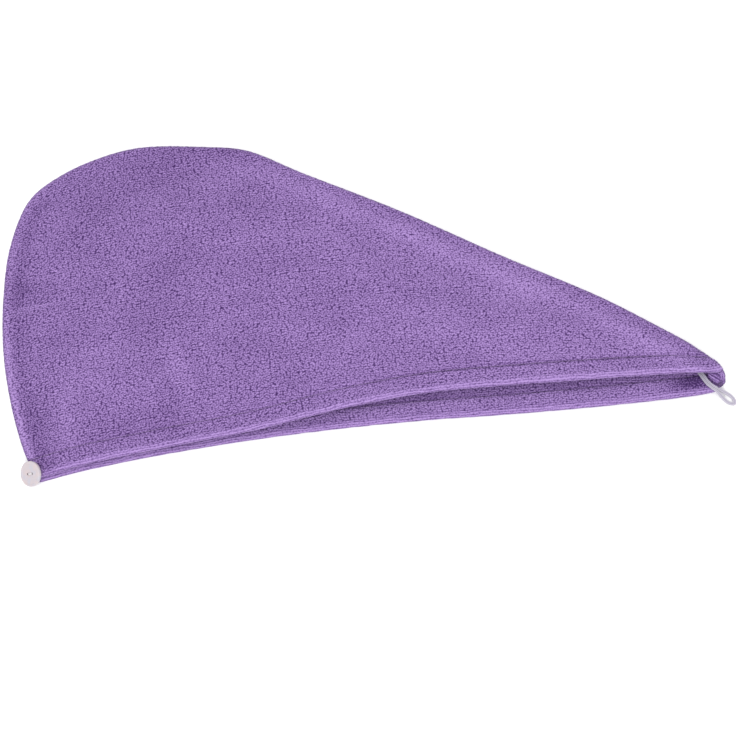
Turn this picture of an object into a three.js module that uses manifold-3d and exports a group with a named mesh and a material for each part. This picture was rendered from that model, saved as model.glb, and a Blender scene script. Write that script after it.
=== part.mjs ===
// Hair turban towel: a terry hood that narrows to a long tail, lying flat on its lower layer.
// Millimetres, +Z up. +X runs along the mouth from the nape to the tip of the tail, and +Y from
// the mouth to the crown. The origin is the middle of the bottom of the towel's box.
import * as THREE from 'three';
import Module from 'manifold-3d';
import { mergeVertices } from 'three/addons/utils/BufferGeometryUtils.js';

const wasm = await Module();
wasm.setup();

// Cloth
const CLOTH_LENGTH = 650;
const CLOTH_WIDTH = 310;
const CLOTH_THICKNESS = 2.4;
const LOWER_ROLL_RADIUS = 4.3;
const EDGE_RADIUS = 5;
const TIP_RADIUS = 6.5;
const PUFF_HEIGHT = 7;
const PUFF_REACH = 75;
const MOUTH_DROOP = 1.2;

// Hems and seams
const HEM_WIDTH = 18;
const HEM_THICKNESS = 4.2;
const RIDGE_HEIGHT = 1;
const CREASE_DEPTH = 0.8;
const SEAM_GAP = 0.3;
const STITCH_GAP = 0.3;
const ROLLED_SEAM_INSET = 6.5;
const ROLLED_SEAM_DEPTH = 0.9;

// Button
const BUTTON_DIAMETER = 23;
const BUTTON_THICKNESS = 3.2;
const BUTTON_RIM_WIDTH = 2.4;
const BUTTON_DISH_DEPTH = 0.9;
const BUTTON_TILT = 36;
const BUTTON_SEAT_GAP = 0.35;
const BUTTON_OVERHANG = 1.6;
const HOLE_DIAMETER = 2.2;
const HOLE_SPACING = 5.2;
const THREAD_DIAMETER = 1.3;
const THREAD_RISE = 0.45;

// Elastic loop
const ELASTIC_WIDTH = 2.9;
const ELASTIC_THICKNESS = 1.8;
const ELASTIC_SEAT_GAP = 0.3;

// Seam seen from above, from the nape corner of the mouth over the crown to the tip of the tail.
// Along and across are shares of the cloth's length and width.
const SEAM = [
  { at: 'nape corner', along: 0.0297, across: 0.010 },
  { at: 'side', along: 0.0136, across: 0.127 },
  { at: 'side', along: 0.0030, across: 0.272 },
  { at: 'side', along: 0.0000, across: 0.420 },
  { at: 'side', along: 0.0070, across: 0.583 },
  { at: 'side', along: 0.0238, across: 0.742 },
  { at: 'crown shoulder', along: 0.0575, across: 0.878 },
  { at: 'crown', along: 0.1050, across: 0.943 },
  { at: 'crown', along: 0.1660, across: 0.985 },
  { at: 'crown', along: 0.2250, across: 1.000 },
  { at: 'crown', along: 0.3114, across: 0.977 },
  { at: 'crown', along: 0.3756, across: 0.946 },
  { at: 'tail', along: 0.4502, across: 0.852 },
  { at: 'tail', along: 0.5848, across: 0.686 },
  { at: 'tail', along: 0.7165, across: 0.506 },
  { at: 'tail', along: 0.8470, across: 0.335 },
  { at: 'tail', along: 0.9180, across: 0.225 },
  { at: 'tail shoulder', along: 0.9560, across: 0.163 },
  { at: 'tip', along: 0.9740, across: 0.128 },
  { at: 'tip', along: 0.9870, across: 0.103 },
  { at: 'tip', along: 0.9965, across: 0.075 },
  { at: 'tip', along: 1.0000, across: 0.048 },
  { at: 'tip corner', along: 0.9937, across: 0.020 },
];
const SEAM_STEPS_PER_ROW = 16;

// Mouth from the nape corner to the tip corner. Along is the share of the line between the two
// corners, rise the share of the cloth's width by which the lower edge arches inwards, and
// setback the share by which the upper edge lies further in than the lower one.
const MOUTH = [
  { along: 0.000, rise: 0.000, setback: 0.010 },
  { along: 0.070, rise: 0.017, setback: 0.010 },
  { along: 0.180, rise: 0.031, setback: 0.011 },
  { along: 0.320, rise: 0.037, setback: 0.020 },
  { along: 0.450, rise: 0.033, setback: 0.052 },
  { along: 0.570, rise: 0.022, setback: 0.079 },
  { along: 0.680, rise: 0.006, setback: 0.086 },
  { along: 0.800, rise: -0.008, setback: 0.080 },
  { along: 0.900, rise: -0.016, setback: 0.074 },
  { along: 0.965, rise: -0.018, setback: 0.070 },
  { along: 0.988, rise: -0.014, setback: 0.062 },
  { along: 1.000, rise: 0.000, setback: 0.053 },
];

// Soft dents and swells of the upper layer. Along and across place the middle, length and
// width are shares of the cloth's width, turn is the angle from +X and lift a share of the puff.
const FOLDS = [
  { at: 'swell inside the nape side', along: 0.075, across: 0.17, length: 0.15, width: 0.07, turn: 75, lift: 0.13 },
  { at: 'dent of the crown', along: 0.25, across: 0.86, length: 0.13, width: 0.05, turn: 20, lift: -0.15 },
  { at: 'dent of the side', along: 0.14, across: 0.68, length: 0.12, width: 0.06, turn: 70, lift: -0.13 },
  { at: 'swell of the crown', along: 0.29, across: 0.74, length: 0.22, width: 0.08, turn: -8, lift: 0.12 },
  { at: 'wrinkle of the side', along: 0.05, across: 0.50, length: 0.12, width: 0.022, turn: 2, lift: 0.12 },
  { at: 'dent over the hem', along: 0.22, across: 0.17, length: 0.20, width: 0.05, turn: 6, lift: -0.14 },
  { at: 'swell of the middle', along: 0.46, across: 0.48, length: 0.34, width: 0.11, turn: -20, lift: 0.12 },
  { at: 'dent over the tail hem', along: 0.68, across: 0.20, length: 0.36, width: 0.035, turn: -3, lift: -0.16 },
  { at: 'swell of the tail', along: 0.80, across: 0.24, length: 0.26, width: 0.05, turn: -14, lift: 0.15 },
];

// Ridge of the folded seam allowance that shows along the tail
const TAIL_RIDGE = { inset: 28, width: 11, height: 1, from: 0.40, to: 0.90 };

// Middle line of one half of the elastic loop, from the seam allowance inside the tip to the end
// of the eye. Along and across are counted from the tip corner as shares of the cloth's width,
// side is the distance between the two halves as a share of the elastic's width, height is the
// share of the way from the surface up to the top of the lower hem.
const LOOP = [
  { at: 'root', along: -0.078, across: 0.088, side: 1.08, height: 1.00 },
  { at: 'stem', along: -0.062, across: 0.052, side: 1.08, height: 1.00 },
  { at: 'stem', along: -0.043, across: 0.017, side: 1.08, height: 1.00 },
  { at: 'stem', along: -0.029, across: -0.001, side: 1.08, height: 1.04 },
  { at: 'mouth edge', along: -0.015, across: -0.012, side: 1.12, height: 1.02 },
  { at: 'neck', along: -0.004, across: -0.022, side: 1.35, height: 0.62 },
  { at: 'eye', along: 0.007, across: -0.032, side: 1.82, height: 0.18 },
  { at: 'eye', along: 0.017, across: -0.042, side: 1.72, height: 0.00 },
  { at: 'eye end', along: 0.025, across: -0.051, side: 0, height: 0.00 },
];

// Lengths in which the upper hem is folded and stitched, as shares along the mouth
const UPPER_HEM_PARTS = [
  { name: 'upper_hem_nape', from: 0, to: 0.2 },
  { name: 'upper_hem_middle', from: 0.2, to: 0.8 },
  { name: 'upper_hem_tail', from: 0.8, to: 1 },
];

// Mesh fineness
const BODY_COLUMNS = 36;
const PANEL_ROWS = 9;
const ROLL_SHARES = [0, 0.12, 0.45, 1];

const smooth = (from, to, value) => THREE.MathUtils.smoothstep(value, from, to);
const bell = (value) => Math.exp(-value * value);

// Value of one column of a table at a share along it, through a smooth curve
function tableValue(table, column, along) {
  let row = table.findIndex((entry) => entry.along >= along);
  row = row < 1 ? 1 : row;
  const [before, after] = [table[row - 1], table[row]];
  const first = table[Math.max(row - 2, 0)];
  const last = table[Math.min(row + 1, table.length - 1)];
  const width = after.along - before.along;
  const share = (along - before.along) / width;
  const slopeBefore = (after[column] - first[column]) / (after.along - first.along);
  const slopeAfter = (last[column] - before[column]) / (last.along - before.along);
  const s2 = share * share;
  const s3 = s2 * share;
  return (2 * s3 - 3 * s2 + 1) * before[column] + (s3 - 2 * s2 + share) * width * slopeBefore
    + (3 * s2 - 2 * s3) * after[column] + (s3 - s2) * width * slopeAfter;
}

// Seam polyline with outward normals
function seamLine() {
  const rows = SEAM.map((row) => new THREE.Vector3(row.along * CLOTH_LENGTH, row.across * CLOTH_WIDTH, 0));
  const curve = new THREE.CatmullRomCurve3(rows, false, 'centripetal');
  const steps = (SEAM.length - 1) * SEAM_STEPS_PER_ROW;
  const points = curve.getPoints(steps).map((point) => new THREE.Vector2(point.x, point.y));
  const normals = points.map((point, index) => {
    const before = points[Math.max(index - 1, 0)];
    const after = points[Math.min(index + 1, steps)];
    return new THREE.Vector2(before.y - after.y, after.x - before.x).normalize();
  });
  return { points, normals };
}

const seam = seamLine();
const rowOf = (name) => SEAM.findIndex((row) => row.at === name) * SEAM_STEPS_PER_ROW;

// Stretch of the seam between two of its points, read by its share of arc length
function stretch(first, last) {
  const step = first < last ? 1 : -1;
  const points = [seam.points[first]];
  const lengths = [0];
  for (let index = first; index !== last; index += step) {
    const next = seam.points[index + step];
    lengths.push(lengths[lengths.length - 1] + next.distanceTo(seam.points[index]));
    points.push(next);
  }
  const total = lengths[lengths.length - 1];
  const at = (share) => {
    const length = share * total;
    let piece = lengths.findIndex((value) => value >= length);
    piece = piece < 1 ? 1 : piece;
    const part = (length - lengths[piece - 1]) / (lengths[piece] - lengths[piece - 1]);
    return points[piece - 1].clone().lerp(points[piece], part);
  };
  return { at, total };
}

const napeSide = stretch(0, rowOf('crown shoulder'));
const crownSide = stretch(rowOf('crown shoulder'), rowOf('tail shoulder'));
const tipSide = stretch(seam.points.length - 1, rowOf('tail shoulder'));
const napeCorner = napeSide.at(0);
const tipCorner = tipSide.at(0);
const crownShoulder = crownSide.at(0);
const tailShoulder = crownSide.at(1);

// Lower edge of the mouth at a share along it
function mouthEdge(along) {
  const point = napeCorner.clone().lerp(tipCorner, along);
  point.y += tableValue(MOUTH, 'rise', along) * CLOTH_WIDTH;
  return point;
}

// Place on the patch between the mouth and the three stretches of the seam
function patch(u, v) {
  const corners = napeCorner.clone().multiplyScalar((1 - u) * (1 - v))
    .addScaledVector(tipCorner, u * (1 - v))
    .addScaledVector(crownShoulder, (1 - u) * v)
    .addScaledVector(tailShoulder, u * v);
  return mouthEdge(u).multiplyScalar(1 - v)
    .addScaledVector(crownSide.at(u), v)
    .addScaledVector(napeSide.at(v), 1 - u)
    .addScaledVector(tipSide.at(v), u)
    .sub(corners);
}

// Length of the patch from the mouth to the seam at a share along it
function depthAt(u) {
  const napeBow = napeSide.total - napeCorner.distanceTo(crownShoulder);
  const tipBow = tipSide.total - tipCorner.distanceTo(tailShoulder);
  return mouthEdge(u).distanceTo(crownSide.at(u)) + (1 - u) ** 2 * napeBow + u ** 2 * tipBow;
}

// Nearest place on the seam: its distance and its outward direction
function nearestSeam(place) {
  let best = { distance: Infinity };
  for (let index = 1; index < seam.points.length; index += 1) {
    const [from, to] = [seam.points[index - 1], seam.points[index]];
    const side = to.clone().sub(from);
    const share = THREE.MathUtils.clamp(place.clone().sub(from).dot(side) / side.lengthSq(), 0, 1);
    const distance = place.distanceTo(from.clone().addScaledVector(side, share));
    if (distance < best.distance) {
      const outward = seam.normals[index - 1].clone().lerp(seam.normals[index], share).normalize();
      best = { distance, outward };
    }
  }
  return best;
}

// Distance to the whole seam with its creases smoothed away
function softDistance(place) {
  let sum = 0;
  for (let index = 1; index < seam.points.length; index += 1) {
    const [from, to] = [seam.points[index - 1], seam.points[index]];
    const middle = from.clone().lerp(to, 0.5);
    sum += from.distanceTo(to) / place.distanceToSquared(middle) ** 2;
  }
  return Math.cbrt(Math.PI / 2 / sum);
}

// Radius of a layer's roll at the seam, larger for the upper layer at the tip of the tail
function rollRadius(layer, place) {
  if (layer === 'lower') {
    return LOWER_ROLL_RADIUS;
  }
  const along = place.x / CLOTH_LENGTH;
  return THREE.MathUtils.lerp(EDGE_RADIUS, TIP_RADIUS, smooth(0.86, 0.97, along));
}

// Height that the upper layer gains over the roll at its seam
function relief(place, inset) {
  const along = place.x / CLOTH_LENGTH;
  let height = PUFF_HEIGHT * smooth(0, PUFF_REACH, softDistance(place));
  let folds = 0;
  for (const fold of FOLDS) {
    const turn = THREE.MathUtils.degToRad(fold.turn);
    const dx = place.x - fold.along * CLOTH_LENGTH;
    const dy = place.y - fold.across * CLOTH_WIDTH;
    const lengthwise = (dx * Math.cos(turn) + dy * Math.sin(turn)) / (fold.length * CLOTH_WIDTH);
    const crosswise = (dy * Math.cos(turn) - dx * Math.sin(turn)) / (fold.width * CLOTH_WIDTH);
    folds += fold.lift * PUFF_HEIGHT * bell(lengthwise) * bell(crosswise);
  }
  const onTail = smooth(TAIL_RIDGE.from, TAIL_RIDGE.from + 0.1, along)
    * (1 - smooth(TAIL_RIDGE.to - 0.1, TAIL_RIDGE.to, along));
  folds += TAIL_RIDGE.height * onTail * bell((inset - TAIL_RIDGE.inset) / TAIL_RIDGE.width);
  height += folds * smooth(0, 3 * EDGE_RADIUS, inset);
  return height;
}

// Dip of the rolled seam that shows on the lower half of the nape side
function rolledSeamDip(place, inset) {
  const nape = 1 - smooth(0.04, 0.10, place.x / CLOTH_LENGTH);
  const low = 1 - smooth(0.38, 0.52, place.y / CLOTH_WIDTH);
  return ROLLED_SEAM_DEPTH * nape * low * bell((inset - ROLLED_SEAM_INSET) / 1.2);
}

// Outer face of one layer: its point and its outward direction. The lower layer lies on the
// surface, and the upper one swells over it.
function outerFace(layer, place, fromEdge) {
  const { distance, outward } = nearestSeam(place);
  const radius = rollRadius(layer, place);
  const cosine = Math.max(0, 1 - distance / radius);
  const sine = Math.sqrt(1 - cosine * cosine);
  if (layer === 'lower') {
    const point = new THREE.Vector3(place.x, place.y, radius * (1 - sine));
    return { point, normal: new THREE.Vector3(outward.x * cosine, outward.y * cosine, -sine) };
  }
  const step = EDGE_RADIUS / 2;
  const swell = (x, y) => {
    const near = new THREE.Vector2(x, y);
    return relief(near, nearestSeam(near).distance);
  };
  const slopeX = (swell(place.x + step, place.y) - swell(place.x - step, place.y)) / (2 * step);
  const slopeY = (swell(place.x, place.y + step) - swell(place.x, place.y - step)) / (2 * step);
  const droop = MOUTH_DROOP * bell(fromEdge / (2 * HEM_WIDTH)) * smooth(0, PUFF_REACH, softDistance(place));
  const height = LOWER_ROLL_RADIUS + SEAM_GAP + radius * sine + relief(place, distance) - droop
    - rolledSeamDip(place, distance) * sine;
  const normal = new THREE.Vector3(outward.x * cosine - slopeX * sine, outward.y * cosine - slopeY * sine, sine);
  return { point: new THREE.Vector3(place.x, place.y, height), normal: normal.normalize() };
}

// Point of a layer at a share along the mouth, a distance in from that layer's own mouth edge
// and a depth below its outer face
function clothPoint(layer, u, fromEdge, depth, lift = 0) {
  const setback = layer === 'upper' ? tableValue(MOUTH, 'setback', u) * CLOTH_WIDTH : 0;
  const v = Math.min(1, (setback + fromEdge) / depthAt(u));
  const { point, normal } = outerFace(layer, patch(u, v), fromEdge);
  return point.addScaledVector(normal, lift - depth);
}

// Shares along the mouth of the columns of cloth, closer together over the rolled edges
function columnShares() {
  const span = napeCorner.distanceTo(tipCorner);
  const start = ROLL_SHARES.map((share) => (share * EDGE_RADIUS) / span);
  const end = ROLL_SHARES.map((share) => 1 - (share * TIP_RADIUS) / span).reverse();
  const middle = [];
  for (let column = 1; column < BODY_COLUMNS; column += 1) {
    middle.push(THREE.MathUtils.lerp(start[start.length - 1], end[0], column / BODY_COLUMNS));
  }
  return [...start, ...middle, ...end];
}

const columns = columnShares();

// Closed band of cloth from its columns, each a list of outer and a list of inner points
function bandGeometry(bands) {
  const rows = bands[0].outer.length;
  const ring = 2 * rows;
  const positions = bands.flatMap((band) => [...band.outer, ...[...band.inner].reverse()])
    .flatMap((point) => point.toArray());
  const faces = [];
  const quad = (a, b, c, d) => faces.push(a, b, c, a, c, d);
  for (let column = 1; column < bands.length; column += 1) {
    for (let index = 0; index < ring; index += 1) {
      const next = (index + 1) % ring;
      const [low, high] = [(column - 1) * ring, column * ring];
      quad(low + index, high + index, high + next, low + next);
    }
  }
  const last = (bands.length - 1) * ring;
  for (let row = 1; row < rows; row += 1) {
    quad(row - 1, row, ring - 1 - row, ring - row);
    quad(last + row, last + row - 1, last + ring - row, last + ring - 1 - row);
  }
  return facesOut(positions, faces);
}

// Mesh data as a geometry whose faces point out
function facesOut(positions, faces) {
  const corner = (index) => new THREE.Vector3().fromArray(positions, 3 * index);
  let volume = 0;
  for (let face = 0; face < faces.length; face += 3) {
    const [a, b, c] = [corner(faces[face]), corner(faces[face + 1]), corner(faces[face + 2])];
    volume += a.dot(b.cross(c));
  }
  const outward = volume > 0 ? faces : [...faces].reverse();
  const geometry = new THREE.BufferGeometry();
  geometry.setAttribute('position', new THREE.Float32BufferAttribute(positions, 3));
  geometry.setIndex(outward);
  geometry.computeVertexNormals();
  return geometry;
}

// Cloth of one layer from its stitch line to the seam
function panelGeometry(layer) {
  const bands = columns.map((u) => {
    const setback = layer === 'upper' ? tableValue(MOUTH, 'setback', u) * CLOTH_WIDTH : 0;
    const reach = depthAt(u) - setback;
    const start = HEM_WIDTH + STITCH_GAP;
    const rollStart = reach - 1.3 * rollRadius(layer, patch(u, 1));
    const shoulder = start + 0.14 * HEM_WIDTH;
    const distances = [start];
    for (let row = 0; row <= PANEL_ROWS; row += 1) {
      distances.push(THREE.MathUtils.lerp(shoulder, rollStart, row / PANEL_ROWS));
    }
    for (const share of [...ROLL_SHARES].reverse().slice(1)) {
      distances.push(THREE.MathUtils.lerp(reach, rollStart, share));
    }
    const crease = (distance) => (distance === start ? -CREASE_DEPTH : 0);
    return {
      outer: distances.map((distance) => clothPoint(layer, u, distance, 0, crease(distance))),
      inner: distances.map((distance) => clothPoint(layer, u, distance, CLOTH_THICKNESS)),
    };
  });
  return bandGeometry(bands);
}

// Columns of a stretch of hem, with half a stitch gap left at each inner end
function hemColumns(from, to) {
  const gap = STITCH_GAP / 2 / napeCorner.distanceTo(tipCorner);
  const start = from > 0 ? from + gap : 0;
  const end = to < 1 ? to - gap : 1;
  const clear = 10 * gap;
  const between = columns.filter((u) => u > start + clear && u < end - clear);
  const rolled = columns.filter((u) => (start === 0 && u <= clear) || (end === 1 && u >= 1 - clear));
  return [...new Set([start, end, ...between, ...rolled])].sort((a, b) => a - b);
}

// Folded hem of one layer, round at the fold and creased at its stitch line. Only the upper hem
// has a raised ridge, because the lower one lies flat.
function hemGeometry(layer, from = 0, to = 1) {
  const half = HEM_THICKNESS / 2;
  const ridge = layer === 'upper' ? RIDGE_HEIGHT : 0;
  const crease = layer === 'upper' ? CREASE_DEPTH : 0;
  const fold = [15, 50, 90].map((angle) => {
    const turn = THREE.MathUtils.degToRad(angle);
    return { from: half * (1 - Math.cos(turn)), in: half * (1 - Math.sin(turn)), lift: 0 };
  });
  fold[2].lift = 0.6 * ridge;
  const flat = [
    { from: 0.25 * HEM_WIDTH, in: 0, lift: ridge },
    { from: 0.60 * HEM_WIDTH, in: 0, lift: 0 },
    { from: 0.88 * HEM_WIDTH, in: 0, lift: 0 },
    { from: HEM_WIDTH, in: 0, lift: -crease },
  ];
  const rows = [...fold, ...flat];
  const bands = hemColumns(from, to).map((u) => {
    const swell = smooth(0, 2 * HEM_WIDTH, softDistance(patch(u, HEM_WIDTH / depthAt(u) / 2)));
    return {
      outer: rows.map((row) => clothPoint(layer, u, row.from, row.in, row.lift * swell)),
      inner: rows.map((row) => clothPoint(layer, u, row.from, HEM_THICKNESS - row.in)),
    };
  });
  return bandGeometry(bands);
}

// Solid of manifold-3d from a geometry, and a geometry from such a solid
function toSolid(geometry) {
  const bare = geometry.clone();
  bare.deleteAttribute('normal');
  bare.deleteAttribute('uv');
  const merged = mergeVertices(bare, 1e-4);
  const vertProperties = new Float32Array(merged.attributes.position.array);
  const triVerts = new Uint32Array(merged.index.array);
  return new wasm.Manifold(new wasm.Mesh({ numProp: 3, vertProperties, triVerts }));
}

function fromSolid(solid) {
  const mesh = solid.getMesh();
  const geometry = new THREE.BufferGeometry();
  geometry.setAttribute('position', new THREE.Float32BufferAttribute(mesh.vertProperties, 3));
  geometry.setIndex([...mesh.triVerts]);
  geometry.computeVertexNormals();
  return geometry;
}

// Button around its own axis, its back at zero height
function buttonGeometry() {
  const radius = BUTTON_DIAMETER / 2;
  const chamfer = BUTTON_THICKNESS / 4;
  const dishRadius = radius - BUTTON_RIM_WIDTH;
  const profile = [
    [0, 0],
    [radius - 2 * chamfer, 0],
    [radius, chamfer],
    [radius, BUTTON_THICKNESS - chamfer],
    [radius - chamfer, BUTTON_THICKNESS],
    [dishRadius, BUTTON_THICKNESS],
    [dishRadius - 2 * BUTTON_DISH_DEPTH, BUTTON_THICKNESS - BUTTON_DISH_DEPTH],
    [0, BUTTON_THICKNESS - BUTTON_DISH_DEPTH],
  ].map(([across, up]) => new THREE.Vector2(across, up));
  const disc = new THREE.LatheGeometry(profile, 28).rotateX(Math.PI / 2);
  let solid = toSolid(disc);
  for (const side of [-1, 1]) {
    const hole = new THREE.CylinderGeometry(HOLE_DIAMETER / 2, HOLE_DIAMETER / 2, 3 * BUTTON_THICKNESS, 12)
      .rotateX(Math.PI / 2)
      .translate((side * HOLE_SPACING) / 2, 0, 0);
    solid = solid.subtract(toSolid(hole));
  }
  return fromSolid(solid);
}

// Closed tube of an oval section along a list of points
function tubeGeometry(points, across, through, sides, steps) {
  const section = new THREE.Shape();
  for (let side = 0; side < sides; side += 1) {
    const turn = (2 * Math.PI * (side + 0.5)) / sides;
    const [x, y] = [(across / 2) * Math.cos(turn), (through / 2) * Math.sin(turn)];
    if (side === 0) {
      section.moveTo(x, y);
    } else {
      section.lineTo(x, y);
    }
  }
  section.closePath();
  const path = new THREE.CatmullRomCurve3(points, false, 'centripetal');
  return new THREE.ExtrudeGeometry(section, { steps, extrudePath: path, bevelEnabled: false });
}

// Thread through the two holes, in the button's own frame
function threadGeometry() {
  const floor = BUTTON_THICKNESS - BUTTON_DISH_DEPTH;
  const top = floor + THREAD_DIAMETER / 2 + THREAD_RISE;
  const half = HOLE_SPACING / 2;
  const leg = (side) => [
    new THREE.Vector3(side * half, 0, 0),
    new THREE.Vector3(side * half, 0, floor / 2),
    new THREE.Vector3(side * (half - 0.1), 0, floor),
    new THREE.Vector3(side * (half - THREAD_DIAMETER / 2), 0, top - THREAD_DIAMETER / 8),
  ];
  const points = [...leg(-1), new THREE.Vector3(0, 0, top), ...leg(1).reverse()];
  return tubeGeometry(points, THREAD_DIAMETER, THREAD_DIAMETER, 8, 22);
}

// Elastic loop from its table: one half out to the eye, the other half back
function loopGeometry() {
  const rise = HEM_THICKNESS + ELASTIC_SEAT_GAP + ELASTIC_THICKNESS / 2;
  const rest = ELASTIC_SEAT_GAP + ELASTIC_THICKNESS / 2;
  const middle = LOOP.map((row) => new THREE.Vector3(
    tipCorner.x + row.along * CLOTH_WIDTH,
    tipCorner.y + row.across * CLOTH_WIDTH,
    THREE.MathUtils.lerp(rest, rise, row.height),
  ));
  const half = (sign) => LOOP.map((row, index) => {
    const before = middle[Math.max(index - 1, 0)];
    const after = middle[Math.min(index + 1, middle.length - 1)];
    const across = new THREE.Vector3(before.y - after.y, after.x - before.x, 0).normalize();
    return middle[index].clone().addScaledVector(across, (sign * row.side * ELASTIC_WIDTH) / 2);
  });
  const points = [...half(1).slice(0, -1), ...half(-1).reverse()];
  return tubeGeometry(points, ELASTIC_THICKNESS, ELASTIC_WIDTH, 8, 60);
}

// Materials
const terry = () => new THREE.MeshStandardMaterial({ color: 0x8a63b4, roughness: 0.95, metalness: 0 });
const plastic = new THREE.MeshStandardMaterial({ color: 0xe6dcdf, roughness: 0.35, metalness: 0 });
const cotton = new THREE.MeshStandardMaterial({ color: 0xf4f1f2, roughness: 0.8, metalness: 0 });
const braid = new THREE.MeshStandardMaterial({ color: 0xd6d2da, roughness: 0.7, metalness: 0 });

function named(name, geometry, material) {
  const mesh = new THREE.Mesh(geometry, material);
  mesh.name = name;
  return mesh;
}

// Button and thread on the rolled corner of the upper hem, leaning outwards
function buttonGroup() {
  const setback = tableValue(MOUTH, 'setback', 0) * CLOTH_WIDTH;
  const share = (setback + HEM_WIDTH / 2.4) / napeSide.total;
  const corner = napeSide.at(share);
  const { outward } = nearestSeam(corner);
  const tilt = THREE.MathUtils.degToRad(BUTTON_TILT);
  const axis = new THREE.Vector3(outward.x * Math.sin(tilt), outward.y * Math.sin(tilt), Math.cos(tilt));
  const slide = new THREE.Vector3(outward.x * Math.cos(tilt), outward.y * Math.cos(tilt), -Math.sin(tilt));
  const rollMiddle = new THREE.Vector3(
    corner.x - outward.x * EDGE_RADIUS,
    corner.y - outward.y * EDGE_RADIUS,
    LOWER_ROLL_RADIUS + SEAM_GAP,
  );
  const group = new THREE.Group();
  group.add(named('button', buttonGeometry(), plastic), named('button_thread', threadGeometry(), cotton));
  const frame = new THREE.Matrix4().makeBasis(slide, new THREE.Vector3().crossVectors(axis, slide), axis);
  group.quaternion.setFromRotationMatrix(frame);
  group.position.copy(rollMiddle)
    .addScaledVector(axis, EDGE_RADIUS + RIDGE_HEIGHT / 2 + BUTTON_SEAT_GAP)
    .addScaledVector(slide, BUTTON_OVERHANG);
  return group;
}

const towel = new THREE.Group();
towel.add(
  named('lower_panel', panelGeometry('lower'), terry()),
  named('lower_hem', hemGeometry('lower'), terry()),
  named('upper_panel', panelGeometry('upper'), terry()),
  ...UPPER_HEM_PARTS.map((part) => named(part.name, hemGeometry('upper', part.from, part.to), terry())),
  named('elastic_loop', loopGeometry(), braid),
  buttonGroup(),
);

towel.updateMatrixWorld(true);
const box = new THREE.Box3().setFromObject(towel, true);
const middle = box.getCenter(new THREE.Vector3());
towel.position.set(-middle.x, -middle.y, -box.min.z);
towel.updateMatrixWorld(true);

const root = new THREE.Group();
root.add(towel);

export default root;
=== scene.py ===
import logging
import math
from dataclasses import dataclass
from enum import Enum
from typing import Sequence

import bmesh
import bpy
import numpy as np
from mathutils import Matrix, Vector


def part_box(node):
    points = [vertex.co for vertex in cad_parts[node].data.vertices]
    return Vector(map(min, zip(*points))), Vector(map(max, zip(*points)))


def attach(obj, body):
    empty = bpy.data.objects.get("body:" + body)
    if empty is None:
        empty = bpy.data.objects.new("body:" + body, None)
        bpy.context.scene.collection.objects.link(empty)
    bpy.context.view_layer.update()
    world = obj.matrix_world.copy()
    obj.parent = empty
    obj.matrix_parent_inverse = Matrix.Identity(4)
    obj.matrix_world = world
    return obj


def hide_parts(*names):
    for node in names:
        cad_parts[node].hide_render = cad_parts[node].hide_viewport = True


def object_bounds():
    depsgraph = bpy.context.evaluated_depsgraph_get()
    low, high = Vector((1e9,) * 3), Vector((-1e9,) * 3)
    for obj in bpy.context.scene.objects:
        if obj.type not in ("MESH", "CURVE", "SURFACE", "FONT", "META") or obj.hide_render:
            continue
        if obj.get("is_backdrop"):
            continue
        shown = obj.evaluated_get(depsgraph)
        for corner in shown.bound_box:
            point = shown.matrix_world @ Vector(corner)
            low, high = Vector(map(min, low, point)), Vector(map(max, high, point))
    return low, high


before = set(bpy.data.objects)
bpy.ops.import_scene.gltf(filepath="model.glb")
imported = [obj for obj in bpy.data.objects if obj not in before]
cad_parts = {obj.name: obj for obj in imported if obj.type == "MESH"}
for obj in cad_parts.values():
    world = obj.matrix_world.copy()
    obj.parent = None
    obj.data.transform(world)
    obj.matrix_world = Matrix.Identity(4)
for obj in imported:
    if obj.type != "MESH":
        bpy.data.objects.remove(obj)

# Looks of a terry hair turban towel that lies flat: cloth, hems, stitches, button and elastic loop.
# Metres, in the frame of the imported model: +X runs from the nape to the tip of the tail, +Y from
# the mouth to the crown, +Z up.

log = logging.getLogger("turban")
CAD_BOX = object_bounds()
BODY = "root"
MM = 0.001
Array = np.ndarray
Piece = bpy.types.Object
Colour = tuple[float, float, float]
Place = tuple[float, float, float]
Span = tuple[float, float]


class Layer(Enum):
    """The two layers of cloth of the towel."""

    UPPER = "upper"
    LOWER = "lower"


# Seam seen from above, from the nape corner of the mouth over the crown to the tip of the tail:
# place, share of the length and share of the width
SEAM = (
    ("nape corner", 0.0297, 0.010),
    ("side", 0.0136, 0.127),
    ("side", 0.0030, 0.272),
    ("side", 0.0000, 0.420),
    ("side", 0.0070, 0.583),
    ("side", 0.0238, 0.742),
    ("crown shoulder", 0.0575, 0.878),
    ("crown", 0.1050, 0.943),
    ("crown", 0.1660, 0.985),
    ("crown", 0.2250, 1.000),
    ("crown", 0.3114, 0.977),
    ("crown", 0.3756, 0.946),
    ("tail", 0.4502, 0.852),
    ("tail", 0.5848, 0.686),
    ("tail", 0.7165, 0.506),
    ("tail", 0.8470, 0.335),
    ("tail", 0.9180, 0.225),
    ("tail shoulder", 0.9560, 0.163),
    ("tip", 0.9740, 0.128),
    ("tip", 0.9870, 0.103),
    ("tip", 0.9965, 0.075),
    ("tip", 1.0000, 0.048),
    ("tip corner", 0.9937, 0.020),
)

# Mouth from corner to corner: share along it, rise of the lower edge and setback of the upper
# edge as shares of the width
MOUTH = (
    (0.000, 0.000, 0.010),
    (0.070, 0.017, 0.010),
    (0.180, 0.031, 0.011),
    (0.320, 0.037, 0.020),
    (0.450, 0.033, 0.052),
    (0.570, 0.022, 0.074),
    (0.680, 0.006, 0.079),
    (0.800, -0.008, 0.075),
    (0.900, -0.016, 0.070),
    (0.965, -0.018, 0.061),
    (0.988, -0.014, 0.053),
    (1.000, 0.000, 0.046),
)

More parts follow.
